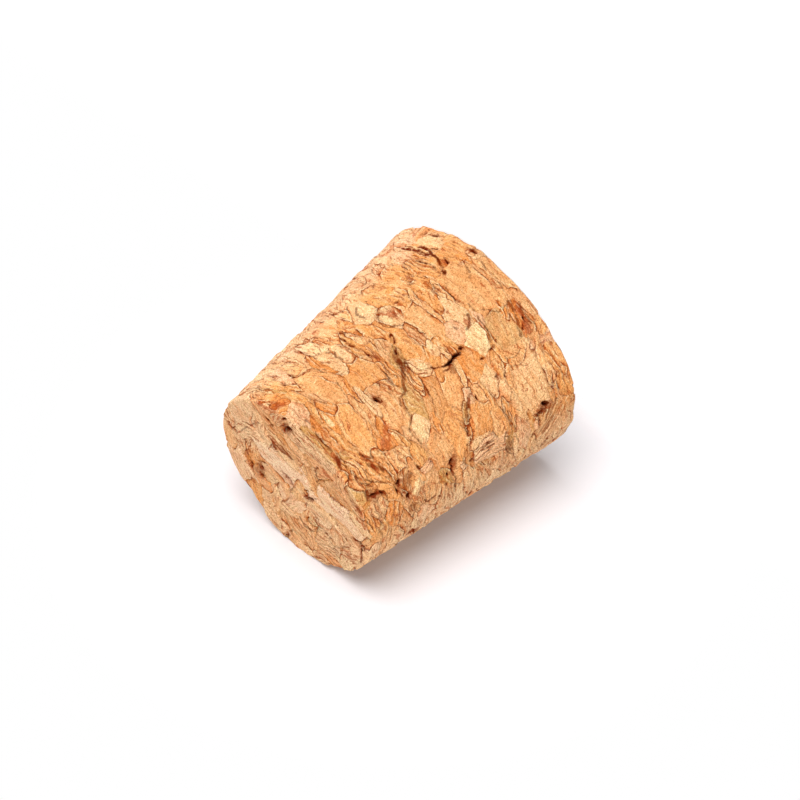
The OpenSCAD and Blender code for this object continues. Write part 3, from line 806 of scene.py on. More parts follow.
@dataclass(frozen=True)
class Plain:
    """How the sunk granules and crevices of the plain side and the wide end are spread.

    The numbers are the solid's own, so that both have the same relief.
    """

    start: float = 80
    span: float = 200
    rows: int = 7
    columns: int = 8
    wide: int = 12
    crevices: int = 24
    climb: float = 0.43
    disc: float = 0.8
    spiral: float = 137.5
    sinks: tuple[float, ...] = (0.10, 0.15, 0.25)
    sunk_move: Span = (-0.12, 0.12)
    sunk_long: Span = (2.4, 3.8)
    sunk_high: Span = (1.1, 2.0)
    sunk_turn: Span = (-14, 14)
    wide_long: Span = (2.2, 3.8)
    wide_high: Span = (1.2, 2.1)
    wide_inner: float = 0.02
    move: Span = (-0.35, 0.35)
    long: Span = (0.6, 1.8)
    high: Span = (0.26, 0.6)
    turn: Span = (-18, 18)
    depth: Span = (0.4, 0.8)
    crevice_inner: float = 0.1
    crevice_turn: float = 70
    any_turn: Span = (0, 180)
    tones: tuple[Tone, ...] = (
        Tone.HONEY, Tone.STRAW, Tone.AMBER, Tone.FAWN, Tone.PEACH, Tone.BEIGE
    )
    # The number at which the chances of each set start
    side_crevices: int = 1000
    wide_crevices: int = 2000
    wide_granules: int = 3000

    def granules(self, plug: Plug) -> list[tuple[Part, Granule]]:
        """Spreads the sunk granules.

        Args:
            plug: The plug.

        Returns:
            The granules of the plain side and of the wide end, with their parts.
        """
        found = []
        for number in range(self.rows * self.columns):
            row, n = number // self.columns, 10 * number
            column = number % self.columns + 0.25 + (row % 2) / 2 + between(self.sunk_move, n)
            rise = (row + 0.5 + between(self.sunk_move, n + 1)) / self.rows * plug.height
            angle = self.start + column * self.span / self.columns
            long, high = between(self.sunk_long, n + 2), between(self.sunk_high, n + 3)
            sink, tone = self._one_of(self.sinks, n + 5), self._one_of(self.tones, n + 6)
            turn = between(self.sunk_turn, n + 4)
            found.append((Part.SIDE, Granule(angle, rise, long, high, turn, tone, sink)))
        for number in range(1, self.wide + 1):
            n = self.wide_granules + 10 * number
            way, one, two = self._on_disc(plug, number, number / self.wide, 0, self.wide_inner)
            long, high = between(self.wide_long, n + 1), between(self.wide_high, n + 2)
            turn, tone = between(self.any_turn, n) - way, self._one_of(self.tones, n + 3)
            found.append((Part.WIDE, Granule(one, two, long, high, turn, tone, self.sinks[0])))
        return found

    def hollows(self, plug: Plug) -> list[tuple[Part, Hollow]]:
        """Spreads the crevices.

        Args:
            plug: The plug.

        Returns:
            The crevices of the plain side and of the wide end, with their parts.
        """
        found = []
        for k in range(self.crevices):
            n = self.side_crevices + 10 * k
            column = k + 0.5 + between(self.move, n)
            angle = self.start + column * self.span / self.crevices
            rise = (0.5 + self.climb * math.sin(math.radians(k * self.spiral))) * plug.height
            long, high = between(self.long, n + 2), between(self.high, n + 3)
            turn, depth = between(self.turn, n + 1), between(self.depth, n + 4)
            found.append((Part.SIDE, Hollow(angle, rise, long, high, turn, depth)))
        for k in range(1, self.crevices // 2 + 1):
            n = self.wide_crevices + 10 * k
            share = k * 2 / self.crevices
            way, one, two = self._on_disc(plug, k, share, self.crevice_turn, self.crevice_inner)
            long, high = between(self.long, n + 1), between(self.high, n + 2)
            turn, depth = between(self.any_turn, n) - way, between(self.depth, n + 3)
            found.append((Part.WIDE, Hollow(one, two, long, high, turn, depth)))
        return found

    def _on_disc(
        self, plug: Plug, number: int, share: float, turned: float, start: float
    ) -> tuple[float, float, float]:
        """Place of one flaw of the wide end.

        Args:
            plug: The plug.
            number: Which of them it is.
            share: Its number as a share of how many there are.
            turned: What is added to its angle.
            start: Least distance from the middle, as a share of the radius.

        Returns:
            Its angle in degrees, and its X and Y.
        """
        way = number * self.spiral + turned
        reach = plug.wide_r * (start + self.disc * math.sqrt(share))
        return way, reach * math.cos(math.radians(way)), reach * math.sin(math.radians(way))

    @staticmethod
    def _one_of(choices: tuple, number: int) -> Tone | float:
        """The one of some choices that the chance of a whole number picks."""
        return choices[int(len(choices) * chance(number))]


@dataclass(frozen=True)
class Loose:
    """How the granules that fill the rest of the surface are thrown.

    Shares are by part: side, narrow end and wide end. Turns stray from the flow by a first
    amount on the front, and by a second one on the plain side. Each keeps some room, as a
    share of its size, from what lies within reach.
    """

    tries: int = 7000
    shares: tuple[float, ...] = (0.68, 0.14, 0.18)
    odds: tuple[tuple[Tone, int], ...] = (
        (Tone.PALE, 8), (Tone.BLUSH, 8), (Tone.PEACH, 26), (Tone.HONEY, 28), (Tone.AMBER, 10),
        (Tone.STRAW, 14), (Tone.BEIGE, 5), (Tone.FAWN, 5), (Tone.KHAKI, 3), (Tone.OLIVE, 2),
        (Tone.SIENNA, 1),
    )
    flow: tuple[Cloud, ...] = (Cloud(7.0, 26, 500), Cloud(3.0, 13, 501))
    stray: Span = (6, 18)
    side_long: Span = (2.4, 6.2)
    side_high: Span = (0.6, 1.7)
    plain_bulk: float = 1.45
    end_long: Span = (2.6, 6.5)
    end_high: Span = (1.1, 3.0)
    sink: float = 0.02
    sink_spread: float = 0.07
    lines: Span = (0.1, 1.0)
    bend: Span = (-0.15, 0.15)
    room: float = 0.74
    reach: float = 6.5


@dataclass
class Mosaic:
    """The granules that make up the surface, each an ellipsoid of bark.

    A place belongs to the granule whose ellipsoid reaches it first as all of them grow, up
    to a spread in their own sizes. A power below 2 points them, and deep is half the depth
    of each.
    """

    plug: Plug
    plain: Plain = Plain()
    loose: Loose = Loose()
    seed: int = 11
    ragged: tuple[Cloud, ...] = (
        Cloud(2.6, 0.36, 0), Cloud(1.1, 0.14, 10), Cloud(0.45, 0.05, 20), Cloud(0.22, 0.03, 30)
    )
    named_bend: Span = (-0.05, 0.05)
    deep: float = 2.4
    spread: float = 2.8
    pointed: float = 1.55
    centre: np.ndarray = field(init=False)
    axes: np.ndarray = field(init=False)
    half: np.ndarray = field(init=False)
    tone: np.ndarray = field(init=False)
    sink: np.ndarray = field(init=False)
    lines: np.ndarray = field(init=False)
    bend: np.ndarray = field(init=False)
    chance: np.ndarray = field(init=False)

    def __post_init__(self) -> None:
        """Lays the named granules and fills the rest of the surface."""
        self._laid: list[tuple] = []
        named = [(Part.SIDE, flake) for flake in SIDE_GRANULES]
        named += [(Part.NARROW, flake) for flake in END_GRANULES]
        for number, (part, flake) in enumerate(named + self.plain.granules(self.plug)):
            self._lay(part, flake, between(self.named_bend, number))
        self._fill()
        columns = (np.array(column) for column in zip(*self._laid))
        self.centre, self.axes, self.half, self.tone, self.sink, self.lines, self.bend = columns
        self.chance = np.random.default_rng(self.seed).random((len(self.centre), 4))

    def _lay(self, part: Part, flake: Granule, bend: float) -> None:
        """Adds one granule.

        Args:
            part: The surface that it is on.
            flake: The granule.
            bend: How much its long axis curves.
        """
        centre, axes = flake.placed(self.plug, part)
        half = np.array([flake.long / 2, flake.high / 2, self.deep])
        shade = linear(flake.tone.value)
        self._laid.append((centre, axes, half, shade, flake.sink, flake.lines, bend))

    def _fill(self) -> None:
        """Throws granules at the surface and keeps each that finds room."""
        rng = np.random.default_rng(self.seed + 1)
        plug, loose = self.plug, self.loose
        parts = (Part.SIDE, Part.NARROW, Part.WIDE)
        tones, odds = zip(*loose.odds)
        odds = np.array(odds) / sum(odds)
        for _ in range(loose.tries):
            part = parts[rng.choice(3, p=loose.shares)]
            long, high = rng.uniform(*loose.side_long), rng.uniform(*loose.side_high)
            if part is Part.SIDE:
                one, two = rng.uniform(-180, 180), rng.uniform(0, plug.height)
                plain = abs(one) > self.plain.start
                place = plug.frame_at(part, one, two)[0]
                flow = sum(float(field.at(place[None])[0]) for field in loose.flow)
                turn = flow + rng.normal(0, loose.stray[plain])
                high *= loose.plain_bulk if plain else 1.0
            else:
                r = plug.narrow_r if part is Part.NARROW else plug.wide_r
                reach, way = r * math.sqrt(rng.random()), rng.uniform(0, 2 * math.pi)
                one, two = reach * math.cos(way), reach * math.sin(way)
                turn = rng.uniform(-90, 90)
                long, high = rng.uniform(*loose.end_long), rng.uniform(*loose.end_high)
            tone = tones[rng.choice(len(tones), p=odds)]
            sink = max(0.0, rng.normal(loose.sink, loose.sink_spread))
            flake = Granule(one, two, long, high, turn, tone, sink, rng.uniform(*loose.lines))
            self._lay(part, flake, rng.uniform(*loose.bend))
            if not self._has_room():
                self._laid.pop()

    def _has_room(self) -> bool:
        """Tells whether the last granule laid stays clear of the others.

        Returns:
            False if it crowds one of them.
        """
        centre, axes, half = self._laid[-1][:3]
        reach = self.loose.reach
        for other, their_axes, their_half in (laid[:3] for laid in self._laid[:-1]):
            gap = other - centre
            if abs(gap[0]) > reach or abs(gap[1]) > reach or abs(gap[2]) > reach:
                continue
            mine = np.linalg.norm(axes @ gap / half)
            theirs = np.linalg.norm(their_axes @ gap / their_half)
            if 2 / (1 / mine + 1 / theirs) < 2 * self.loose.room:
                return False
        return True

    def warp(self, points: np.ndarray) -> np.ndarray:
        """Moves places a little at random, so that borders come out ragged.

        Args:
            points: Places, one row of three for each.

        Returns:
            The places after the move.
        """
        moved = points.copy()
        for stir in self.ragged:
            for axis in range(3):
                moved[:, axis] += stir.at(points, axis)
        return moved

    def owners(self, points: np.ndarray) -> tuple[np.ndarray, np.ndarray, np.ndarray]:
        """Finds which granule each place belongs to.

        Args:
            points: Places on the plain plug, one row of three for each.

        Returns:
            The granule of each place, the next nearest, and the distance to the seam.
        """
        at = self.warp(points)
        order = np.argsort(at[:, 2])
        rises = at[order, 2]
        best = np.full((2, len(at)), np.inf)
        who = np.zeros((2, len(at)), np.int64)
        span = self.spread * np.sqrt(((self.axes * self.half[:, :, None]) ** 2).sum(axis=1))
        for k, centre in enumerate(self.centre):
            low, high = np.searchsorted(rises, (centre[2] - span[k, 2], centre[2] + span[k, 2]))
            near = order[low:high]
            gap = at[near] - centre
            inside = (np.abs(gap) < span[k]).all(axis=1)
            near, gap = near[inside], gap[inside]
            local = gap @ self.axes[k].T
            local[:, 1] += self.bend[k] * local[:, 0] ** 2
            far = (np.abs(local / self.half[k]) ** self.pointed).sum(axis=1) ** (1 / self.pointed)
            first = far < best[0, near]
            second = ~first & (far < best[1, near])
            won, lost = near[first], near[second]
            best[1, won], who[1, won] = best[0, won], who[0, won]
            best[0, won], who[0, won] = far[first], k
            best[1, lost], who[1, lost] = far[second], k
        return who[0], who[1], self.border(points, who[0], who[1])

    def border(self, points: np.ndarray, mine: np.ndarray, other: np.ndarray) -> np.ndarray:
        """Distance of each place from the border between two granules.

        Args:
            points: Places on the plain plug, one row of three for each.
            mine: The granule on whose side the distance counts as positive.
            other: The granule on the other side.

        Returns:
            Distances in millimetres.
        """
        at = self.warp(points)
        (far_one, slope_one), (far_two, slope_two) = self._far(at, mine), self._far(at, other)
        slope = np.linalg.norm(slope_one - slope_two, axis=1)
        return np.clip((far_two - far_one) / np.maximum(slope, 0.05), -2, 9)

    def _far(self, at: np.ndarray, who: np.ndarray) -> tuple[np.ndarray, np.ndarray]:
        """Tells how far places are out of granules.

        Args:
            at: Places, one row of three for each.
            who: The granule that each is measured from.

        Returns:
            How far each is, in the granule's own size, and the slope of that over space.
        """
        place = self.local(at, who)
        share = np.maximum(np.abs(place / self.half[who]), 1e-6)
        size = (share**self.pointed).sum(axis=1) ** (1 / self.pointed)
        slope = (share / size[:, None]) ** (self.pointed - 1) * np.sign(place) / self.half[who]
        slope[:, 0] += slope[:, 1] * 2 * self.bend[who] * place[:, 0]
        return size, np.einsum("nij,ni->nj", self.axes[who], slope)

    def local(self, points: np.ndarray, who: np.ndarray) -> np.ndarray:
        """Finds where places lie in granules.

        Args:
            points: Places, one row of three for each.
            who: The granule that each is seen from.

        Returns:
            Places along, across and out of the granule, in millimetres.
        """
        place = np.einsum("nij,nj->ni", self.axes[who], points - self.centre[who])
        place[:, 1] += self.bend[who] * place[:, 0] ** 2
        return place


@dataclass(frozen=True)
class Spare:
    """How the smallest hollows are thrown at the plain side and the wide end.

    Slim is their height as a share of their length, and reach is a share of the end's area.
    """

    count: int = 60
    side_share: float = 0.72
    long: Span = (0.4, 1.7)
    slim: Span = (0.2, 0.6)
    depth: Span = (0.25, 0.8)
    angle: Span = (76, 286)
    margin: float = 0.5
    turn: float = 14
    reach: Span = (0.01, 0.9)


@dataclass(frozen=True)
class Relief:
    """How the granules, their seams and their growth lines stand out of the ground form.

    Step is the spread of the granules' heights, and tilt is how much they lean along and
    across. A seam has a depth of its own and a further one where it has opened. Ridge waves
    are in radians for each millimetre: the least, and what chance adds.
    """

    step: float = 0.06
    tilt: Span = (0.05, 0.12)
    limits: Span = (-0.40, 0.14)
    bottom: float = 0.02
    seam_width: float = 0.12
    seam_depth: float = 0.03
    open_depth: float = 0.20
    opened: Span = (0.35, 0.9)
    open_stir: Cloud = Cloud(1.2, 0.5, 80)
    ridge: float = 0.030
    ridge_waves: Span = (8, 4)
    ridge_stir: Cloud = Cloud(1.6, 0.5, 81)
    swells: tuple[Cloud, ...] = (Cloud(3.0, 0.03, 82), Cloud(0.9, 0.03, 83))
    grain: Cloud = Cloud(0.38, 0.018, 84)
    # Lenses let into the surface, and paths along it
    margin: float = 0.6
    bow: Cloud = Cloud(0.9, 0.7, 900)
    squared: float = 1.6
    fray: Cloud = Cloud(0.4, 0.30, 40)
    lip: Span = (0.35, 1.15)
    crack_swell: Cloud = Cloud(1.1, 0.6, 61)
    crack_fray: Cloud = Cloud(0.3, 0.6, 60)
    crack_lip: Span = (0.35, 1.3)
    crack_sway: float = 0.10
    vein_sway: float = 0.15
    stain_margin: float = 1.0
    stain_fray: Cloud = Cloud(0.7, 0.35, 700)
    wobble: Cloud = Cloud(0.8, 1.0, 300)
    wobble_step: int = 70
    # How far wear reaches down from a rim and in from the ground side
    wear_drop: float = 2.2
    wear_inward: float = 3.0


@dataclass
class Skin:
    """The stopper's whole surface as one closed mesh with its relief.

    Rows and steps are distances between points, and far stands for what no mark is near.
    """

    plug: Plug
    mosaic: Mosaic
    relief: Relief = Relief()
    spare: Spare = Spare()
    columns: int = 440
    row: float = 0.155
    end_step: float = 0.165
    wide_step: float = 0.27
    front: Span = (80, 110)
    front_share: float = 1.4
    far: float = 3.0
    points: np.ndarray = field(init=False)
    out: np.ndarray = field(init=False)
    faces: np.ndarray = field(init=False)

    def build(self) -> bpy.types.Object:
        """Builds the mesh.

        Returns:
            The finished object, with the attributes that its material reads.
        """
        self._lay_grid()
        who, other, seam = self.mosaic.owners(self.points)
        log.info("skin: %d points, %d faces", len(self.points), len(self.faces))
        depth, reach = self._hollows()
        height = self._height(who, other, seam, depth)
        moved = self.points + self.out * height[:, None] + self._wear()
        mesh = bpy.data.meshes.new("cork_skin")
        mesh.from_pydata((moved * MM).tolist(), [], self.faces.tolist())
        mesh.polygons.foreach_set("use_smooth", np.ones(len(self.faces), bool))
        self._write(mesh, "veins", "POINT", self._veins())
        stains = [self._stains(tone) for tone in (Tone.UMBER, Tone.RUST, Tone.CREAM)]
        self._write(mesh, "stains", "POINT", np.column_stack(stains))
        self._write(mesh, "hollow", "POINT", reach)
        self._write_granules(mesh)
        mesh.validate()
        mesh.update()
        skin = bpy.data.objects.new("cork_skin", mesh)
        bpy.context.scene.collection.objects.link(skin)
        return skin

    def _angles(self) -> np.ndarray:
        """Spaces the columns, closer together at the front.

        Returns:
            Angles in radians, two for each column: its own and the one half way on.
        """
        fine = np.linspace(-180, 180, 2001)
        dense = 1 + (self.front_share - 1) * (1 - smooth(np.abs(fine), *self.front))
        total = np.concatenate([[0], np.cumsum((dense[1:] + dense[:-1]) / 2)])
        places = np.arange(2 * self.columns) / (2 * self.columns)
        return np.radians(np.interp(places, total / total[-1], fine))

    def _lay_grid(self) -> None:
        """Lays the points of the side, the rims and both ends, and joins them."""
        angles = self._angles()
        rows = self.plug.section(self.row)
        points, out = [], []
        for j, (r, rise, across, up) in enumerate(rows):
            a = angles[j % 2 :: 2]
            sine, cosine, level = np.sin(a), np.cos(a), np.ones(self.columns)
            points.append(np.column_stack([r * sine, -r * cosine, rise * level]))
            out.append(np.column_stack([across * sine, -across * cosine, up * level]))
        n = self.columns
        k = np.arange(n)
        faces = []
        for j in range(len(rows) - 1):
            a, b = j * n + k, j * n + (k + 1) % n
            c, d = (j + 1) * n + k, (j + 1) * n + (k + 1) % n
            if j % 2:
                faces += [np.column_stack([a, b, d]), np.column_stack([a, d, c])]
            else:
                faces += [np.column_stack([a, b, c]), np.column_stack([b, d, c])]
        start = len(rows) * n
        for ring, step, sign in ((0, self.wide_step, -1), (len(rows) - 1, self.end_step, 1)):
            inner, joined = self._cap(points[ring], ring * n, start, step, sign)
            points.append(inner)
            out.append(np.tile([0.0, 0.0, float(sign)], (len(inner), 1)))
            faces.append(joined)
            start += len(inner)
        self.points = np.concatenate(points)
        self.out = np.concatenate(out)
        self.faces = np.concatenate(faces)

    def _cap(
        self, ring: np.ndarray, ring_start: int, start: int, step: float, sign: int
    ) -> tuple[np.ndarray, np.ndarray]:
        """Fills one end with points and joins them to its rim.

        Args:
            ring: The rim's points, in order.
            ring_start: Number of the rim's first point.
            start: Number of the first new point.
            step: Distance between new points.
            sign: 1 for the narrow end, -1 for the wide one.

        Returns:
            The new points, and the triangles.
        """
        r, pitch = np.hypot(ring[0, 0], ring[0, 1]), step * math.sqrt(0.75)
        grid = []
        rows = int(r / pitch) + 1
        for j in range(-rows, rows + 1):
            y = j * pitch
            x = (np.arange(-int(r / step) - 1, int(r / step) + 2) + (j % 2) / 2) * step
            grid.append(np.column_stack([x, np.full(len(x), y)]))
        inner = np.concatenate(grid)
        inner = inner[np.hypot(inner[:, 0], inner[:, 1]) < r - 0.75 * step]
        flat = np.concatenate([ring[:, :2], inner])
        found = delaunay_2d_cdt([Vector(p) for p in flat.tolist()], [], [], 0, 1e-9)
        source = np.array([o[0] for o in found[3]])
        faces = source[np.array(found[2])]
        numbers = np.r_[ring_start : ring_start + len(ring), start : start + len(inner)]
        faces = numbers[faces]
        if sign < 0:
            faces = faces[:, ::-1]
        return np.column_stack([inner, np.full(len(inner), ring[0, 2])]), faces

    def _all_hollows(self) -> list[tuple[Part, Hollow]]:
        """Gathers the named hollows, and more over the parts that they leave plain.

        Returns:
            Every hollow, with its part.
        """
        found = [(Part.SIDE, h) for h in SIDE_HOLLOWS] + [(Part.NARROW, h) for h in END_HOLLOWS]
        found += self.mosaic.plain.hollows(self.plug)
        rng, spare = np.random.default_rng(self.mosaic.seed + 2), self.spare
        for _ in range(spare.count):
            long = rng.uniform(*spare.long)
            high = long * rng.uniform(*spare.slim)
            depth = rng.uniform(*spare.depth)
            if rng.random() < spare.side_share:
                one = rng.uniform(*spare.angle)
                two = rng.uniform(spare.margin, self.plug.height - spare.margin)
                turn = rng.normal(0, spare.turn)
                found.append((Part.SIDE, Hollow(one, two, long, high, turn, depth)))
            else:
                reach = self.plug.wide_r * math.sqrt(rng.uniform(*spare.reach))
                way, turn = rng.uniform(0, 2 * math.pi), rng.uniform(-90, 90)
                one, two = reach * math.cos(way), reach * math.sin(way)
                found.append((Part.WIDE, Hollow(one, two, long, high, turn, depth)))
        return found

    def _near(
        self, part: Part, mark: Mark, margin: float
    ) -> tuple[np.ndarray, np.ndarray, np.ndarray]:
        """Finds the points round a lens-shaped mark, and where they lie in it.

        Args:
            part: The surface that the mark is on.
            mark: The mark.
            margin: How far beyond its ends to look.

        Returns:
            The points' numbers, and their places along and across, 1 at the mark's edge.
        """
        centre, axes = mark.placed(self.plug, part)
        close = np.linalg.norm(self.points - centre, axis=1) < mark.long / 2 + margin
        near = np.nonzero(close)[0]
        near = near[self.out[near] @ axes[2] > 0.6]
        along, across, _ = axes @ (self.points[near] - centre).T
        return near, along / mark.long * 2, across / mark.high * 2

    def _along(self, part: Part, path: Path, sway: float) -> tuple[np.ndarray, np.ndarray]:
        """Finds the points round a path along the surface.

        Args:
            part: The surface that the path is on.
            path: Its corners.
            sway: How far it strays from its straight runs.

        Returns:
            The points' numbers, and their distances from the path.
        """
        line = np.array([self.plug.frame_at(part, *corner)[0] for corner in path])
        low, high = line.min(axis=0) - 1, line.max(axis=0) + 1
        near = np.nonzero(((self.points > low) & (self.points < high)).all(axis=1))[0]
        at = self.points[near]
        stir = self.relief
        steps = (stir.wobble.at(at, stir.wobble_step * axis) for axis in range(3))
        at = at + sway * np.column_stack(list(steps))
        away = np.full(len(at), np.inf)
        for a, b in zip(line[:-1], line[1:]):
            run = b - a
            share = np.clip((at - a) @ run / (run @ run), 0, 1)
            away = np.minimum(away, np.linalg.norm(at - a - share[:, None] * run, axis=1))
        return near, away

    def _hollows(self) -> tuple[np.ndarray, np.ndarray]:
        """Lets the hollows and the cracks into the surface.

        Returns:
            Each point's depth, and its place from the middle of a hollow to past its lip.
        """
        form = self.relief
        depth = np.zeros(len(self.points))
        reach = np.full(len(self.points), self.far)

        def sink(near: np.ndarray, far: np.ndarray, most: float, lip: Span) -> None:
            """Sinks some points by how far from the middle each is."""
            depth[near] = np.maximum(depth[near], most * (1 - smooth(far, *lip)))
            reach[near] = np.minimum(reach[near], far)

        for number, (part, hollow) in enumerate(self._all_hollows()):
            near, along, across = self._near(part, hollow, form.margin)
            at = self.points[near]
            bowed = across + form.bow.at(at, number)
            far = np.sqrt(np.abs(along) ** form.squared + bowed**2) + form.fray.at(at, number)
            sink(near, far, hollow.depth, form.lip)
        for crack in CRACKS:
            near, away = self._along(Part.SIDE, crack.path, form.crack_sway)
            at = self.points[near]
            far = away / crack.width * (1 + form.crack_swell.at(at)) + form.crack_fray.at(at)
            sink(near, far, crack.depth, form.crack_lip)
        return depth, reach

    def _stains(self, tone: Tone) -> np.ndarray:
        """Finds how far each point is out of the stains of one tone.

        Args:
            tone: The tone.

        Returns:
            Each point's place from the middle of a stain to past its edge.
        """
        reach = np.full(len(self.points), self.far)
        for part, stains in ((Part.SIDE, SIDE_STAINS), (Part.NARROW, END_STAINS)):
            for number, stain in enumerate(stains):
                if stain.tone is not tone:
                    continue
                near, along, across = self._near(part, stain, self.relief.stain_margin)
                fray = self.relief.stain_fray.at(self.points[near], number)
                reach[near] = np.minimum(reach[near], np.hypot(along, across) + fray)
        return reach

    def _veins(self) -> np.ndarray:
        """Finds the veins near the points.

        Returns:
            Rows of the distance from the nearest vein, in its widths, its strength, and 0.
        """
        reach = np.full(len(self.points), 3 * self.far)
        strength = np.zeros(len(self.points))
        for part, veins in ((Part.SIDE, SIDE_VEINS), (Part.NARROW, END_VEINS)):
            for vein in veins:
                near, away = self._along(part, vein.path, self.relief.vein_sway)
                away = away / vein.width
                closer = away < reach[near]
                reach[near[closer]] = away[closer]
                strength[near[closer]] = vein.strength
        return np.column_stack([reach, strength, np.zeros(len(reach))])

    def _height(
        self, who: np.ndarray, other: np.ndarray, seam: np.ndarray, hollow: np.ndarray
    ) -> np.ndarray:
        """Height of each point over the ground form.

        Args:
            who: The granule of each point.
            other: The granule across the nearest seam.
            seam: Distance to that seam.
            hollow: Depth of the hollows.

        Returns:
            Heights in millimetres, below 0 where the surface is sunk.
        """
        mosaic, form, points = self.mosaic, self.relief, self.points
        place = mosaic.local(points, who)
        chance = mosaic.chance[who]
        height = form.step * (chance[:, 2] - 0.5) - mosaic.sink[who]
        height += ((chance[:, :2] - 0.5) * place[:, :2]) @ np.array(form.tilt)
        height = np.clip(height, *form.limits)
        meet = np.abs(mosaic.chance[who, 2] - mosaic.chance[other, 2])
        opened = smooth(meet + form.open_stir.at(points), *form.opened)
        deep = form.seam_depth + form.open_depth * opened
        height -= deep * np.exp(-((seam / form.seam_width) ** 2))
        least, more = form.ridge_waves
        across = place[:, 1] + form.ridge_stir.at(points)
        waves = np.sin(across * (least + more * chance[:, 3]))
        height += form.ridge * mosaic.lines[who] * waves
        height += sum(swell.at(points) for swell in (*form.swells, form.grain))
        bottom = points[:, 2] < form.bottom
        return np.where(bottom, np.minimum(height, 0.0), height) - hollow

    def _wear(self) -> np.ndarray:
        """Finds how far the rims stand out or are worn in.

        Returns:
            The move of each point.
        """
        angle = np.degrees(np.arctan2(self.points[:, 0], -self.points[:, 1]))
        r = np.hypot(self.points[:, 0], self.points[:, 1])
        amount = np.zeros(len(r))
        for wear in RIM_WEAR:
            turn = (angle - wear.angle + 180) % 360 - 180
            if wear.part is Part.NARROW:
                drop, edge = self.plug.height - self.points[:, 2], self.plug.narrow_r
            else:
                drop, edge = self.points[:, 2], self.plug.wide_r
            inward = np.maximum(edge - r, 0)
            off = (drop / self.relief.wear_drop) ** 2 + (inward / self.relief.wear_inward) ** 2
            amount += wear.out * np.exp(-off - (turn / wear.spread) ** 2)
        outward = self.points[:, :2] / np.maximum(r, 1e-6)[:, None]
        return np.column_stack([amount[:, None] * outward, np.zeros(len(r))])

    def _write_granules(self, mesh: bpy.types.Mesh) -> None:
        """Writes what each corner takes from its face's granule and from the next one.

        Args:
            mesh: The mesh.
        """
        mosaic = self.mosaic
        who, other, _ = mosaic.owners(self.points[self.faces].mean(axis=1))
        here, there = np.repeat(who, 3), np.repeat(other, 3)
        corners = self.points[self.faces.ravel()]
        border = mosaic.border(corners, here, there)
        sign = np.where(here < there, 1.0, -1.0)
        strata = [self._strata(corners, granule) for granule in (here, there)]
        chance = [mosaic.chance[granule, 2] for granule in (here, there)]
        self._write(mesh, "border", "CORNER", np.column_stack([border, sign, sign * 0]))
        self._write(mesh, "strata", "CORNER", np.column_stack([*strata, sign * 0]))
        self._write(mesh, "chance", "CORNER", np.column_stack([*chance, sign * 0]))
        for name, granule in (("tone_here", here), ("tone_there", there)):
            color = np.column_stack([mosaic.tone[granule], mosaic.lines[granule]])
            made = mesh.attributes.new(name, "FLOAT_COLOR", "CORNER")
            made.data.foreach_set("color", color.astype(np.float32).ravel())

    def _strata(self, corners: np.ndarray, who: np.ndarray) -> np.ndarray:
        """Finds where corners lie across the growth lines.

        Args:
            corners: Places, one row of three for each.
            who: The granule that each is seen from.

        Returns:
            Places across the granule's lines, in millimetres.
        """
        place = self.mosaic.local(corners, who)
        chance = self.mosaic.chance[who]
        rings = smooth(chance[:, 3], 0.92, 0.97)
        round_about = np.hypot(place[:, 0] * 0.35, place[:, 1])
        return (1 - rings) * place[:, 1] + rings * round_about + 7 * chance[:, 1]

    @staticmethod
    def _write(mesh: bpy.types.Mesh, name: str, domain: str, values: np.ndarray) -> None:
        """Writes one of the attributes that the material reads.

        Args:
            mesh: The mesh.
            name: The attribute's name.
            domain: POINT or CORNER.
            values: One number, or a row of three, for each point or corner.
        """
        single = values.ndim == 1
        made = mesh.attributes.new(name, "FLOAT" if single else "FLOAT_VECTOR", domain)
        made.data.foreach_set("value" if single else "vector", values.astype(np.float32).ravel())


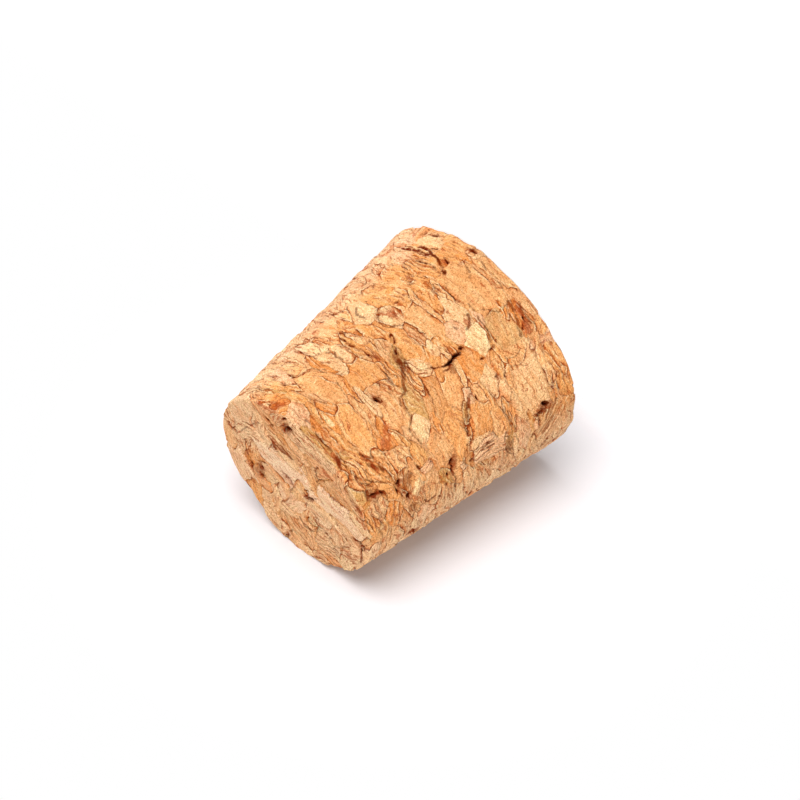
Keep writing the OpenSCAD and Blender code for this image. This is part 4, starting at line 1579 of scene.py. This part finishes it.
class Graph:
    """A short hand for laying out shader nodes."""

    def __init__(self, tree: bpy.types.NodeTree) -> None:
        """Starts on an empty tree."""
        self.tree = tree
        tree.nodes.clear()

    def node(self, kind: str, **settings: object) -> bpy.types.Node:
        """Adds a node.

        Args:
            kind: Its kind, without the word that all kinds start with.
            settings: Its own properties.

        Returns:
            The node.
        """
        made = self.tree.nodes.new("ShaderNode" + kind)
        for name, value in settings.items():
            setattr(made, name, value)
        return made

    def put(self, socket: Socket, value: Feed) -> None:
        """Feeds a socket from another, or sets it.

        Args:
            socket: The socket.
            value: What feeds it, or its value.
        """
        if isinstance(value, Socket):
            self.tree.links.new(value, socket)
        elif isinstance(value, tuple) and len(value) == 3 and socket.type == "RGBA":
            socket.default_value = (*value, 1.0)
        else:
            socket.default_value = value

    def fed(
        self, kind: str, feeds: dict[int | str, Feed], **settings: object
    ) -> Outputs:
        """Adds a node and feeds some of its sockets.

        Args:
            kind: The node's kind.
            feeds: What feeds each socket, by the socket's name or number.
            settings: The node's own properties.

        Returns:
            The node's outputs.
        """
        made = self.node(kind, **settings)
        for key, value in feeds.items():
            self.put(made.inputs[key], value)
        return made.outputs

    def apply(self, kind: str, *values: Feed, **settings: object) -> Outputs:
        """Adds a node, feeds its first sockets in order and gives its outputs."""
        return self.fed(kind, dict(enumerate(values)), **settings)

    def math(self, way: str, *values: Feed) -> Socket:
        """One sum of numbers."""
        return self.apply("Math", *values, operation=way)[0]

    def seen(self) -> Socket:
        """Tells the camera's rays from others.

        Returns:
            1 for rays from the camera, straight or by something shiny or clear, else 0.
        """
        path = self.node("LightPath").outputs
        direct = self.math("MAXIMUM", path["Is Camera Ray"], path["Is Glossy Ray"])
        return self.math("MAXIMUM", direct, path["Is Transmission Ray"])

    def times(self, *values: Feed) -> Feed:
        """The product of some numbers."""
        return reduce(lambda total, value: self.math("MULTIPLY", total, value), values)

    def sum(self, *parts: tuple[Feed, float]) -> Feed:
        """The sum of some numbers, each with its weight."""
        return reduce(lambda total, part: self.math("MULTIPLY_ADD", *part, total), parts, 0.0)

    def at_least(self, least: float, value: Feed) -> Feed:
        """A share that goes from a least one to 1 as a value goes from 0 to 1."""
        return self.sum((value, 1 - least), (1.0, least))

    def mix(self, share: Feed, one: Feed, two: Feed, way: str = "MIX") -> Socket:
        """A blend of two colours."""
        feeds = {0: share, 6: one, 7: two}
        return self.fed("Mix", feeds, data_type="RGBA", blend_type=way)[2]

    def pick(self, share: Feed, one: Feed, two: Feed) -> Socket:
        """A blend of two numbers."""
        return self.fed("Mix", {0: share, 2: one, 3: two}, data_type="FLOAT")[0]

    def lay(self, body: Feed, mask: Feed, coat: Coat) -> Socket:
        """Lays a coat over a colour where a mask says so."""
        return self.mix(self.times(mask, coat.most), body, linear(coat.shade))

    def step(
        self, value: Feed, low: float, high: float, first: float = 0.0, last: float = 1.0
    ) -> Socket:
        """Eases from a first value at low to a last one at high."""
        ease = "SMOOTHSTEP"
        return self.apply("MapRange", value, low, high, first, last, interpolation_type=ease)[0]

    def fall(self, value: Feed, low: float, high: float) -> Socket:
        """Eases from 1 at low to 0 at high."""
        return self.step(value, low, high, 1.0, 0.0)

    def noise(self, place: Feed, scale: float, detail: float = 2.0) -> Socket:
        """A smooth random field, 0 to 1, with its scale in waves for each millimetre."""
        return self.fed("TexNoise", {"Vector": place, "Scale": scale, "Detail": detail})[0]

    def patches(self, place: Feed, kind: Patches) -> Socket:
        """A mask of the patches where a random field is high."""
        return self.step(self.noise(place, kind.scale, kind.detail), kind.low, kind.high)

    def clouds(self, place: Feed, waves: Waves, level: float = 0.0) -> Feed:
        """The sum of some random fields.

        Args:
            place: Place in millimetres.
            waves: The scale, the detail and the weight of each field.
            level: The value that the sum swings about.

        Returns:
            The sum.
        """
        parts = [(self.noise(place, scale, detail), weight) for scale, detail, weight in waves]
        return self.sum(*parts, (1.0, level - sum(weight for *_, weight in waves) / 2))

    def split(self, vector: Feed) -> tuple[Socket, ...]:
        """The three numbers of a vector or a colour."""
        return tuple(self.apply("SeparateXYZ", vector))

    def join(self, *numbers: Feed) -> Socket:
        """A vector of up to three numbers."""
        return self.apply("CombineXYZ", *numbers)[0]

    def read(self, name: str) -> tuple[Socket, ...]:
        """Reads one of the mesh's attributes as three numbers."""
        return self.split(self.node("Attribute", attribute_name=name).outputs["Vector"])


@dataclass(frozen=True)
class Flake:
    """What the finish reads of the granule on this side of a border.

    The place is in millimetres, the edge is the distance to the border, proud says whether
    this side of it is the higher, lines how strong the growth lines are, and strata is the
    place across them.
    """

    place: Socket
    edge: Socket
    proud: Socket
    tone: Socket
    lines: Socket
    strata: Socket
    chance: Socket


@dataclass(frozen=True)
class CorkFinish:
    """Matt ground cork: layered granules with growth lines, glue seams, stains and pits."""

    # The surface as a whole
    roughness: float = 0.85
    specular: float = 0.04
    sheen: float = 0.03
    sheen_roughness: float = 0.18
    sheen_tint: Color = (1.0, 0.86, 0.68)
    bounce: float = 0.45
    # Powers by which a change of light acts on red, green and blue
    fade: Color = (0.80, 1.05, 1.40)
    # The red of the dark tones, and what they are multiplied by
    dark: Span = (0.10, 0.44)
    deep: Color = (1.35, 0.80, 0.42)
    # Each granule's own colour
    body_level: float = 0.96
    body_cloud: float = 0.18
    body_clouding: Span = (0.6, 3.0)
    body_chance: float = 0.06
    warmth: Color = (1.0, 0.84, 0.66)
    warm: tuple[tuple[Patches, float], ...] = (
        (Patches(0.9, 0.45, 0.75), 0.28),
        (Patches(0.16, 0.45, 0.60, 1.0), 0.22),
    )
    grain: Waves = ((5.0, 2.0, 1.0), (10.0, 1.0, 1.1))
    grain_level: float = 0.965
    # Painted sheen on the two flanks, and paler cut ends, partly their own grain and partly
    # painted sheen: where each starts, where it is full, how much
    pale_end_and_sheen_tone: tuple[int, int, int] = (255, 224, 186)
    middle: float = 12.5
    painted_sheen_flank: tuple[float, float, float] = (0.78, 1.0, 0.52)
    pale_end_and_sheen: tuple[float, float, float] = (12.3, 12.48, 0.34)
    # Growth lines and fibre, with painted highlights beside them
    sway: Waves = ((0.32, 2.0, 2.0), (1.5, 2.0, 0.42), (4.5, 2.0, 0.12))
    sway_level: float = 1.27
    pressed: Patches = Patches(0.5, 0.42, 0.54)
    faint: Patches = Patches(0.7, 0.44, 0.56)
    broad: Lines = Lines(1.9, 0.15, 0.05)
    narrow: Lines = Lines(3.8, 0.22, 0.30)
    fibre_streaks: Span = (4.2, 0.8)
    bark_streaks: Span = (1.7, 0.3)
    bark_dark: Span = (0.30, 0.52)
    bark_pale: Span = (0.52, 0.70)
    dark_bark: Coat = Coat(Tone.SIENNA.value, 0.40)
    pale_bark: Coat = Coat(Tone.CREAM.value, 0.34)
    fibre_dark: Span = (0.55, 0.66)
    fibre_pale: Span = (0.32, 0.44)
    # Least shares of the lines, the broad ones among them, and the fibre
    line_least: float = 0.05
    broad_least: float = 0.1
    fibre_least: float = 0.15
    narrow_share: float = 0.85
    line_highlight: Coat = Coat(PAINTED_HIGHLIGHT, 0.60)
    fibre_highlight: Coat = Coat(PAINTED_HIGHLIGHT, 0.50)
    fibre: Coat = Coat(GROWTH, 0.72)
    line: Coat = Coat(GROWTH, 0.95)
    # Stains, marks and flecks
    stain_edge: Span = (0.65, 1.15)
    stain_fray: Waves = ((2.6, 4.0, 2.6),)
    stains: tuple[Coat, ...] = (
        Coat(Tone.UMBER.value, 0.62),
        Coat(Tone.RUST.value, 0.70),
        Coat(Tone.CREAM.value, 0.90),
    )
    marked: Patches = Patches(0.5, 0.50, 0.62)
    mark_streaks: Span = (3.4, 1.3)
    mark_edge: Span = (0.60, 0.68)
    marks: Coat = Coat(Tone.RUST.value, 0.70)
    flecked: Patches = Patches(0.42, 0.52, 0.66)
    fleck_spots: Patches = Patches(3.6, 0.58, 0.68)
    flecks: Coat = Coat(Tone.CREAM.value, 0.65)
    # Glue seams, with a painted shade on the lower granule's side of each border and a painted
    # highlight along the higher one's edge, and spans of the distance to the border
    painted_step_shade_reach: Span = (0.0, 0.45)
    highlight_in: Span = (0.03, 0.08)
    highlight_out: Span = (0.10, 0.24)
    seam_reach: Span = (0.0, 0.07)
    seam_least: float = 0.07
    seam_fray: Waves = ((1.4, 2.0, 0.16), (4.0, 2.0, 0.14))
    glued: Patches = Patches(0.6, 0.46, 0.62, 3.0)
    painted_step_shade: Coat = Coat((218, 112, 38), 0.60)
    painted_step_highlight: Coat = Coat(PAINTED_HIGHLIGHT, 0.62)
    seam_width: Waves = ((1.7, 2.0, 4.0),)
    seam: Coat = Coat(SEAM, 0.88)
    # Veins, and pits darkened partly by dark binder and partly by painted shade
    vein_edge: Span = (0.45, 1.20)
    vein_fray: Waves = ((3.4, 3.0, 1.5),)
    veined: Patches = Patches(1.3, 0.30, 0.50)
    vein: Coat = Coat((86, 26, 4), 0.95)
    pit_fray: Waves = ((2.8, 4.0, 2.6),)
    # Rings of each pit from the brown rim to the near black core: dark binder and painted shade
    # in the hollow
    pits: tuple[tuple[float, float, Coat], ...] = (
        (0.80, 1.90, Coat(SEAM, 0.55)),
        (0.65, 1.00, Coat((92, 34, 8), 0.85)),
        (0.20, 0.60, Coat((26, 6, 1), 0.92)),
    )
    # Depths of the lines, fibre, seams and veins, and swells of the ground surface
    cuts: tuple[float, ...] = (-0.09, -0.05, -0.09, -0.08)
    swells: Waves = ((1.6, 2.0, 0.06), (4.0, 2.0, 0.20))

    def material(self) -> bpy.types.Material:
        """Builds the material.

        Returns:
            A material that reads the skin's attributes.
        """
        made = bpy.data.materials.new("cork")
        made.use_nodes = True
        g = Graph(made.node_tree)
        flake = self._flake(g)
        body, line, fibre = self._growth(g, flake, self._body(g, flake))
        body, seam = self._seamed(g, flake, self._stained(g, flake, body))
        body, vein = self._veined(g, flake.place, body)
        body = self._pit_shade_and_binder(g, flake.place, body)
        body = self._lit(g, body, g.clouds(flake.place, self.grain, self.grain_level))
        body = self._deepened(g, body)
        bounced = g.node("LightPath").outputs["Is Diffuse Ray"]
        body = g.mix(bounced, body, (self.bounce,) * 3, "MULTIPLY")
        relief = g.sum(*zip((line, fibre, seam, vein), self.cuts))
        height = g.math("ADD", relief, g.clouds(flake.place, self.swells))
        surface = {
            "Base Color": body,
            "Roughness": self.roughness,
            "Specular IOR Level": self.specular,
            "Sheen Weight": self.sheen,
            "Sheen Roughness": self.sheen_roughness,
            "Sheen Tint": self.sheen_tint,
            "Normal": g.fed("Bump", {"Strength": 1.0, "Distance": MM, "Height": height})[0],
        }
        g.apply("OutputMaterial", g.fed("BsdfPrincipled", surface)[0])
        return made

    def _flake(self, g: Graph) -> Flake:
        """Picks what belongs to the granule on this side of the frayed border.

        Args:
            g: The node tree.

        Returns:
            The granule.
        """
        metres = g.node("TexCoord").outputs["Object"]
        place = g.fed("VectorMath", {0: metres, "Scale": 1 / MM}, operation="SCALE")[0]
        border, sign, _ = g.read("border")
        moved = g.math("ADD", border, g.times(sign, g.clouds(place, self.seam_fray)))
        other = g.math("LESS_THAN", moved, 0.0)
        here = g.node("Attribute", attribute_name="tone_here").outputs
        there = g.node("Attribute", attribute_name="tone_there").outputs
        chances = g.read("chance")[:2]
        higher = g.math("SUBTRACT", g.math("GREATER_THAN", *chances), other)
        return Flake(
            place=place,
            edge=g.math("ABSOLUTE", moved),
            proud=g.math("ABSOLUTE", higher),
            tone=g.mix(other, here["Color"], there["Color"]),
            lines=g.pick(other, here["Alpha"], there["Alpha"]),
            strata=g.pick(other, *g.read("strata")[:2]),
            chance=g.pick(other, *chances),
        )

    def _body(self, g: Graph, flake: Flake) -> Socket:
        """Clouds the granules' own colours with light, dark and warm patches.

        Args:
            g: The node tree.
            flake: The granule.

        Returns:
            The colour.
        """
        clouded = (g.noise(flake.place, *self.body_clouding), self.body_cloud)
        light = g.sum(clouded, (flake.chance, self.body_chance), (1.0, self.body_level))
        warm = g.sum(*((g.patches(flake.place, kind), share) for kind, share in self.warm))
        warmed = g.mix(warm, self._lit(g, flake.tone, light), self.warmth, "MULTIPLY")
        # Pales the flanks with painted sheen, and the cut ends with their paler grain and painted
        # sheen
        return g.mix(self._pale_ends_and_painted_sheen(g, flake.place), warmed, linear(self.pale_end_and_sheen_tone))

    def _pale_ends_and_painted_sheen(self, g: Graph, place: Socket) -> Socket:
        """Finds how pale the two flanks are with a painted sheen, and the cut ends with their own
        paler grain and painted sheen.

        Args:
            g: The node tree.
            place: Place in millimetres.

        Returns:
            How pale each place is, 0 to 1.
        """
        x, y, z = g.split(place)
        aside = g.split(g.apply("VectorMath", g.join(x, y), operation="NORMALIZE")[0])[0]
        low, high, most = self.painted_sheen_flank
        flank = g.step(g.math("ABSOLUTE", aside), low, high, last=most)
        low, high, most = self.pale_end_and_sheen
        off = g.math("ABSOLUTE", g.math("SUBTRACT", z, self.middle))
        return g.math("MAXIMUM", flank, g.step(off, low, high, last=most))

    def _lit(self, g: Graph, body: Socket, light: Feed) -> Socket:
        """A colour made lighter, or darker and deeper, by a factor."""
        parts = g.join(*(g.math("POWER", light, power) for power in self.fade))
        return g.apply("VectorMath", body, parts, operation="MULTIPLY")[0]

    def _deepened(self, g: Graph, body: Socket) -> Socket:
        """Turns the dark tones redder, as bark is where it is thick and old."""
        return g.mix(g.fall(g.split(body)[0], *self.dark), body, self.deep, "MULTIPLY")

    def _growth(self, g: Graph, flake: Flake, body: Socket) -> tuple[Socket, ...]:
        """Lays the growth lines and the grain of each granule over its colour, with painted
        highlights beside the lines.

        Args:
            g: The node tree.
            flake: The granule.
            body: The colour so far.

        Returns:
            The new colour, the mask of the lines and the mask of the finer fibre.
        """
        place, lines = flake.place, flake.lines
        run = g.math("ADD", flake.strata, g.clouds(place, self.sway, self.sway_level))
        streak = self._streaks(g, place, run, self.bark_streaks)
        body = g.lay(body, g.fall(streak, *self.bark_dark), self.dark_bark)
        body = g.lay(body, g.step(streak, *self.bark_pale), self.pale_bark)
        keen = g.times(g.patches(place, self.pressed), g.at_least(self.line_least, lines))
        some = g.at_least(self.broad_least, keen)
        faint = g.times(keen, g.patches(place, self.faint))
        broad = self._lines(g, run, flake.chance, self.broad)
        narrow = self._lines(g, run, flake.chance, self.narrow)
        drawn_in = g.times(narrow[0], faint, self.narrow_share)
        line = g.math("MAXIMUM", g.times(broad[0], some), drawn_in)
        pale = g.math("MAXIMUM", g.times(broad[1], some), g.times(narrow[1], faint))
        drawn = self._streaks(g, place, run, self.fibre_streaks)
        some = g.at_least(self.fibre_least, lines)
        fibre = g.times(g.step(drawn, *self.fibre_dark), some)
        # Painted highlights beside the growth lines and between the fibre strokes
        body = g.lay(body, pale, self.line_highlight)
        body = g.lay(body, g.times(g.fall(drawn, *self.fibre_pale), some), self.fibre_highlight)
        body = g.lay(body, fibre, self.fibre)
        return g.lay(body, line, self.line), line, fibre

    @staticmethod
    def _lines(g: Graph, run: Socket, chance: Socket, kind: Lines) -> tuple[Socket, Socket]:
        """One set of growth lines, each dark with a painted highlight beside it.

        Args:
            g: The node tree.
            run: Place across the lines.
            chance: The granule's chance, which shifts and spaces them.
            kind: The set.

        Returns:
            The mask of the dark lines and the mask of their painted highlights.
        """
        often, wide = kind.often, kind.wide
        least, more = kind.spacing
        across = g.times(run, g.sum((chance, often * more), (1.0, often * least)))
        index, part = g.math("FLOOR", across), g.math("FRACT", across)
        seed = g.sum((chance, kind.shift), (index, 1.0), (1.0, often))
        dice = g.fed("TexWhiteNoise", {"W": seed}, noise_dimensions="1D")[0]
        shown = g.step(dice, kind.kept, kind.kept + kind.ease)
        off = g.math("SUBTRACT", part, kind.middle)
        dark = g.fall(g.math("ABSOLUTE", off), 0.1 * wide, wide)
        flank = g.math("ABSOLUTE", g.math("SUBTRACT", off, kind.flank * wide))
        pale = g.fall(flank, 0.2 * wide, 1.1 * wide)
        return g.times(dark, shown), g.times(pale, shown)

    @staticmethod
    def _streaks(g: Graph, place: Socket, run: Socket, scales: Span) -> Socket:
        """A random field drawn out along the growth lines.

        Args:
            g: The node tree.
            place: Place in millimetres.
            run: Place across the growth lines.
            scales: Waves for each millimetre across them and along them.

        Returns:
            The field, 0 to 1.
        """
        x, y, _ = g.split(place)
        fine, coarse = scales
        drawn = g.join(g.times(run, fine), g.times(x, coarse), g.times(y, coarse))
        return g.noise(drawn, 1.0, 2.0)

    def _stained(self, g: Graph, flake: Flake, body: Socket) -> Socket:
        """Lays dark, rust and cream patches over the colour, and small specks of them.

        Args:
            g: The node tree.
            flake: The granule.
            body: The colour so far.

        Returns:
            The new colour.
        """
        place = flake.place
        fray = g.clouds(place, self.stain_fray)
        for reach, coat in zip(g.read("stains"), self.stains):
            body = g.lay(body, g.fall(g.math("ADD", reach, fray), *self.stain_edge), coat)
        streaks = self._streaks(g, place, flake.strata, self.mark_streaks)
        marks = g.times(g.patches(place, self.marked), g.step(streaks, *self.mark_edge))
        body = g.lay(body, marks, self.marks)
        flecks = g.times(g.patches(place, self.flecked), g.patches(place, self.fleck_spots))
        return g.lay(body, flecks, self.flecks)

    def _seamed(self, g: Graph, flake: Flake, body: Socket) -> tuple[Socket, Socket]:
        """Lays dark glue lines between the granules, with painted shade on the lower side of each
        step and a painted highlight along its higher edge.

        Args:
            g: The node tree.
            flake: The granule.
            body: The colour so far.

        Returns:
            The new colour, and the mask of the lines.
        """
        glued = g.patches(flake.place, self.glued)
        edge, low = flake.edge, g.math("SUBTRACT", 1.0, flake.proud)
        # Painted shade on the lower granule's side of the border
        body = g.lay(body, g.times(g.fall(edge, *self.painted_step_shade_reach), glued, low), self.painted_step_shade)
        # Painted highlight along the higher granule's edge
        flank = g.times(g.step(edge, *self.highlight_in), g.fall(edge, *self.highlight_out))
        body = g.lay(body, g.times(flank, glued, flake.proud), self.painted_step_highlight)
        off = g.times(edge, g.clouds(flake.place, self.seam_width, 1.0))
        seam = g.times(g.fall(off, *self.seam_reach), g.at_least(self.seam_least, glued))
        return g.lay(body, seam, self.seam), seam

    def _veined(self, g: Graph, place: Socket, body: Socket) -> tuple[Socket, Socket]:
        """Lays dark veins along the granules.

        Args:
            g: The node tree.
            place: Place in millimetres.
            body: The colour so far.

        Returns:
            The new colour, and the mask of the veins.
        """
        reach, strength, _ = g.read("veins")
        frayed = g.math("ADD", reach, g.clouds(place, self.vein_fray))
        close = g.fall(frayed, *self.vein_edge)
        vein = g.times(close, strength, g.patches(place, self.veined))
        return g.lay(body, vein, self.vein), vein

    def _pit_shade_and_binder(self, g: Graph, place: Socket, body: Socket) -> Socket:
        """Darkens the hollows with dark binder and painted shade, with a brown rim.

        Args:
            g: The node tree.
            place: Place in millimetres.
            body: The colour so far.

        Returns:
            The new colour.
        """
        reach = g.node("Attribute", attribute_name="hollow").outputs["Fac"]
        ragged = g.math("ADD", reach, g.clouds(place, self.pit_fray))
        for low, high, coat in self.pits:
            body = g.lay(body, g.fall(ragged, low, high), coat)
        return body


@dataclass(frozen=True)
class Lamp:
    """One soft box, by the way that its light comes from."""

    name: str
    way: tuple[float, float, float]
    level: float
    size: float = 0.45
    away: float = 0.8
    tint: Color = WHITE

    def light(self, aim: Vector) -> bpy.types.Object:
        """Hangs the lamp.

        Args:
            aim: The point that it faces.

        Returns:
            The lamp. At its level, a white face turned to it gives that much light back.
        """
        data = bpy.data.lights.new(self.name, "AREA")
        data.shape = "DISK"
        data.size = self.size
        data.color = self.tint
        data.energy = self.level * math.pi**2 * self.away**2
        lamp = bpy.data.objects.new(self.name, data)
        way = Vector(self.way).normalized()
        lamp.location = aim + way * self.away
        lamp.rotation_euler = way.to_track_quat("Z", "Y").to_euler()
        lamp.visible_camera = False
        bpy.context.scene.collection.objects.link(lamp)
        return lamp


@dataclass(frozen=True)
class Studio:
    """A pale floor and table, soft lamps and a white room.

    A sheet's glow thins the shadow on it. The floor fades out over a span behind the plug,
    and the table over a ring round the place where it touches the side.
    """

    plug: Plug
    table_angle: float = 213.4
    table_gap: float = 0.12
    reach: float = 0.6
    room_level: float = 0.34
    floor_glow: float = 0.55
    table_glow: float = 0.07
    card: Color = (0.98, 0.935, 0.95)
    fade: Span = (-14.0, 6.0)
    ring: Span = (24.0, 36.0)
    lamps: tuple[Lamp, ...] = (
        Lamp("key", (0.43, -0.88, 0.18), 0.90, 0.58),
        Lamp("rim", (0.86, 0.50, 0.08), 0.74, 0.50),
        Lamp("fill", (-0.75, -0.10, 0.65), 0.62, 0.42, tint=(1.0, 0.94, 0.88)),
    )

    def build(self) -> None:
        """Sets out the floor, the table, the lamps and the room."""
        turn = math.radians(self.table_angle)
        back = Vector((math.sin(turn), -math.cos(turn), 0))
        floor_card = self._cover("floor_card", self.floor_glow, back)
        floor = self._plane("floor", Vector((0, 0, 0)), Vector((0, 0, 1)), floor_card)
        level, up = math.cos(self.plug.taper), math.sin(self.plug.taper)
        out = Vector((level * math.sin(turn), -level * math.cos(turn), up))
        mid = self.plug.height / 2
        touch = Vector(self.plug.frame_at(Part.SIDE, self.table_angle, mid)[0])
        table_card = self._cover("table_card", self.table_glow, hub=touch)
        table = self._plane("table", (touch + out * self.table_gap) * MM, -out, table_card)
        for stage in (floor, table):
            stage.visible_diffuse = False
            stage.visible_shadow = False
        aim = Vector((0, 0, mid * MM))
        for lamp in self.lamps:
            lamp.light(aim)
        self._room()

    def _plane(
        self, name: str, at: Vector, up: Vector, cover: bpy.types.Material
    ) -> bpy.types.Object:
        """Lays one flat sheet of the stage.

        Args:
            name: The sheet's name.
            at: The place of its middle, in metres.
            up: The way that it faces.
            cover: Its material.

        Returns:
            The sheet.
        """
        mesh = bpy.data.meshes.new(name)
        half = self.reach
        corners = [(-half, -half, 0), (half, -half, 0), (half, half, 0), (-half, half, 0)]
        mesh.from_pydata(corners, [], [(0, 1, 2, 3)])
        mesh.materials.append(cover)
        sheet = bpy.data.objects.new(name, mesh)
        turn = up.to_track_quat("Z", "Y").to_matrix().to_4x4()
        sheet.matrix_world = Matrix.Translation(at) @ turn
        bpy.context.scene.collection.objects.link(sheet)
        return sheet

    def _cover(
        self,
        name: str,
        bright: float,
        back: Vector | None = None,
        hub: Vector | None = None,
    ) -> bpy.types.Material:
        """Makes pale card that shows white to the camera but for the object's shadow.

        Args:
            name: The material's name.
            bright: How much it glows to the camera, which thins the shadow.
            back: The way in which it fades out, if it does so along a line.
            hub: The point, in millimetres, round which it stays, if it ends in a ring.

        Returns:
            The material.
        """
        made = bpy.data.materials.new(name)
        made.use_nodes = True
        g = Graph(made.node_tree)
        card = g.apply("BsdfDiffuse", self.card)[0]
        glow = g.apply("Emission", WHITE, g.times(g.seen(), bright))[0]
        surface = g.node("NewGeometry").outputs
        place, hidden = surface["Position"], surface["Backfacing"]
        if back is not None:
            along = g.apply("VectorMath", place, tuple(back / MM), operation="DOT_PRODUCT")
            hidden = g.math("MAXIMUM", hidden, g.step(along["Value"], *self.fade))
        if hub is not None:
            off = g.apply("VectorMath", place, tuple(hub * MM), operation="DISTANCE")
            far = g.times(off["Value"], 1 / MM)
            hidden = g.math("MAXIMUM", hidden, g.step(far, *self.ring))
        lit = g.apply("AddShader", card, glow)[0]
        clear = g.apply("BsdfTransparent")[0]
        g.apply("OutputMaterial", g.apply("MixShader", hidden, lit, clear)[0])
        return made

    def _room(self) -> None:
        """White to the camera, and a mild light from all round."""
        world = bpy.data.worlds.new("room")
        bpy.context.scene.world = world
        world.use_nodes = True
        g = Graph(world.node_tree)
        mild = g.apply("Background", WHITE, self.room_level)[0]
        white = g.apply("Background", WHITE, 1.0)[0]
        g.apply("OutputWorld", g.apply("MixShader", g.seen(), mild, white)[0])


@dataclass(frozen=True)
class Camera:
    """A long lens that looks at a point on the axis, rolled about its own line."""

    aim_rise: float = 11.03
    away: float = 340.8
    elevation: float = 25.15
    roll: float = 129.3
    lens: float = 162.0
    sensor: float = 36.0

    def build(self) -> bpy.types.Object:
        """Sets up the camera.

        Returns:
            The camera, which is also made the scene's own.
        """
        data = bpy.data.cameras.new("camera")
        data.lens, data.sensor_width = self.lens, self.sensor
        data.clip_start, data.clip_end = 10 * MM, 10000 * MM
        camera = bpy.data.objects.new("camera", data)
        tip, roll = math.radians(self.elevation), math.radians(self.roll)
        ahead = Vector((0, math.cos(tip), -math.sin(tip)))
        level, upright = Vector((1, 0, 0)), Vector((0, math.sin(tip), math.cos(tip)))
        right = level * math.cos(roll) - upright * math.sin(roll)
        up = level * math.sin(roll) + upright * math.cos(roll)
        turn = Matrix((right, up, -ahead)).transposed().to_4x4()
        place = (Vector((0, 0, self.aim_rise)) - ahead * self.away) * MM
        camera.matrix_world = Matrix.Translation(place) @ turn
        bpy.context.scene.collection.objects.link(camera)
        bpy.context.scene.camera = camera
        return camera


def main() -> None:
    """Builds the stopper and its studio, and reports each piece."""
    logging.basicConfig(level=logging.INFO, format="%(name)s: %(message)s")
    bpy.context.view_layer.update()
    bpy.context.scene.view_settings.view_transform = "Standard"
    plug = Plug()
    Camera().build()
    mosaic = Mosaic(plug)
    log.info("mosaic: %d granules", len(mosaic.centre))
    skin = Skin(plug, mosaic).build()
    skin.data.materials.append(CorkFinish().material())
    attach(skin, "root")
    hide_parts(NODE)
    log.info("%s stands for %s", skin.name, NODE)
    Studio(plug).build()
    log.info("studio is set")


if __name__ == "__main__":
    main()
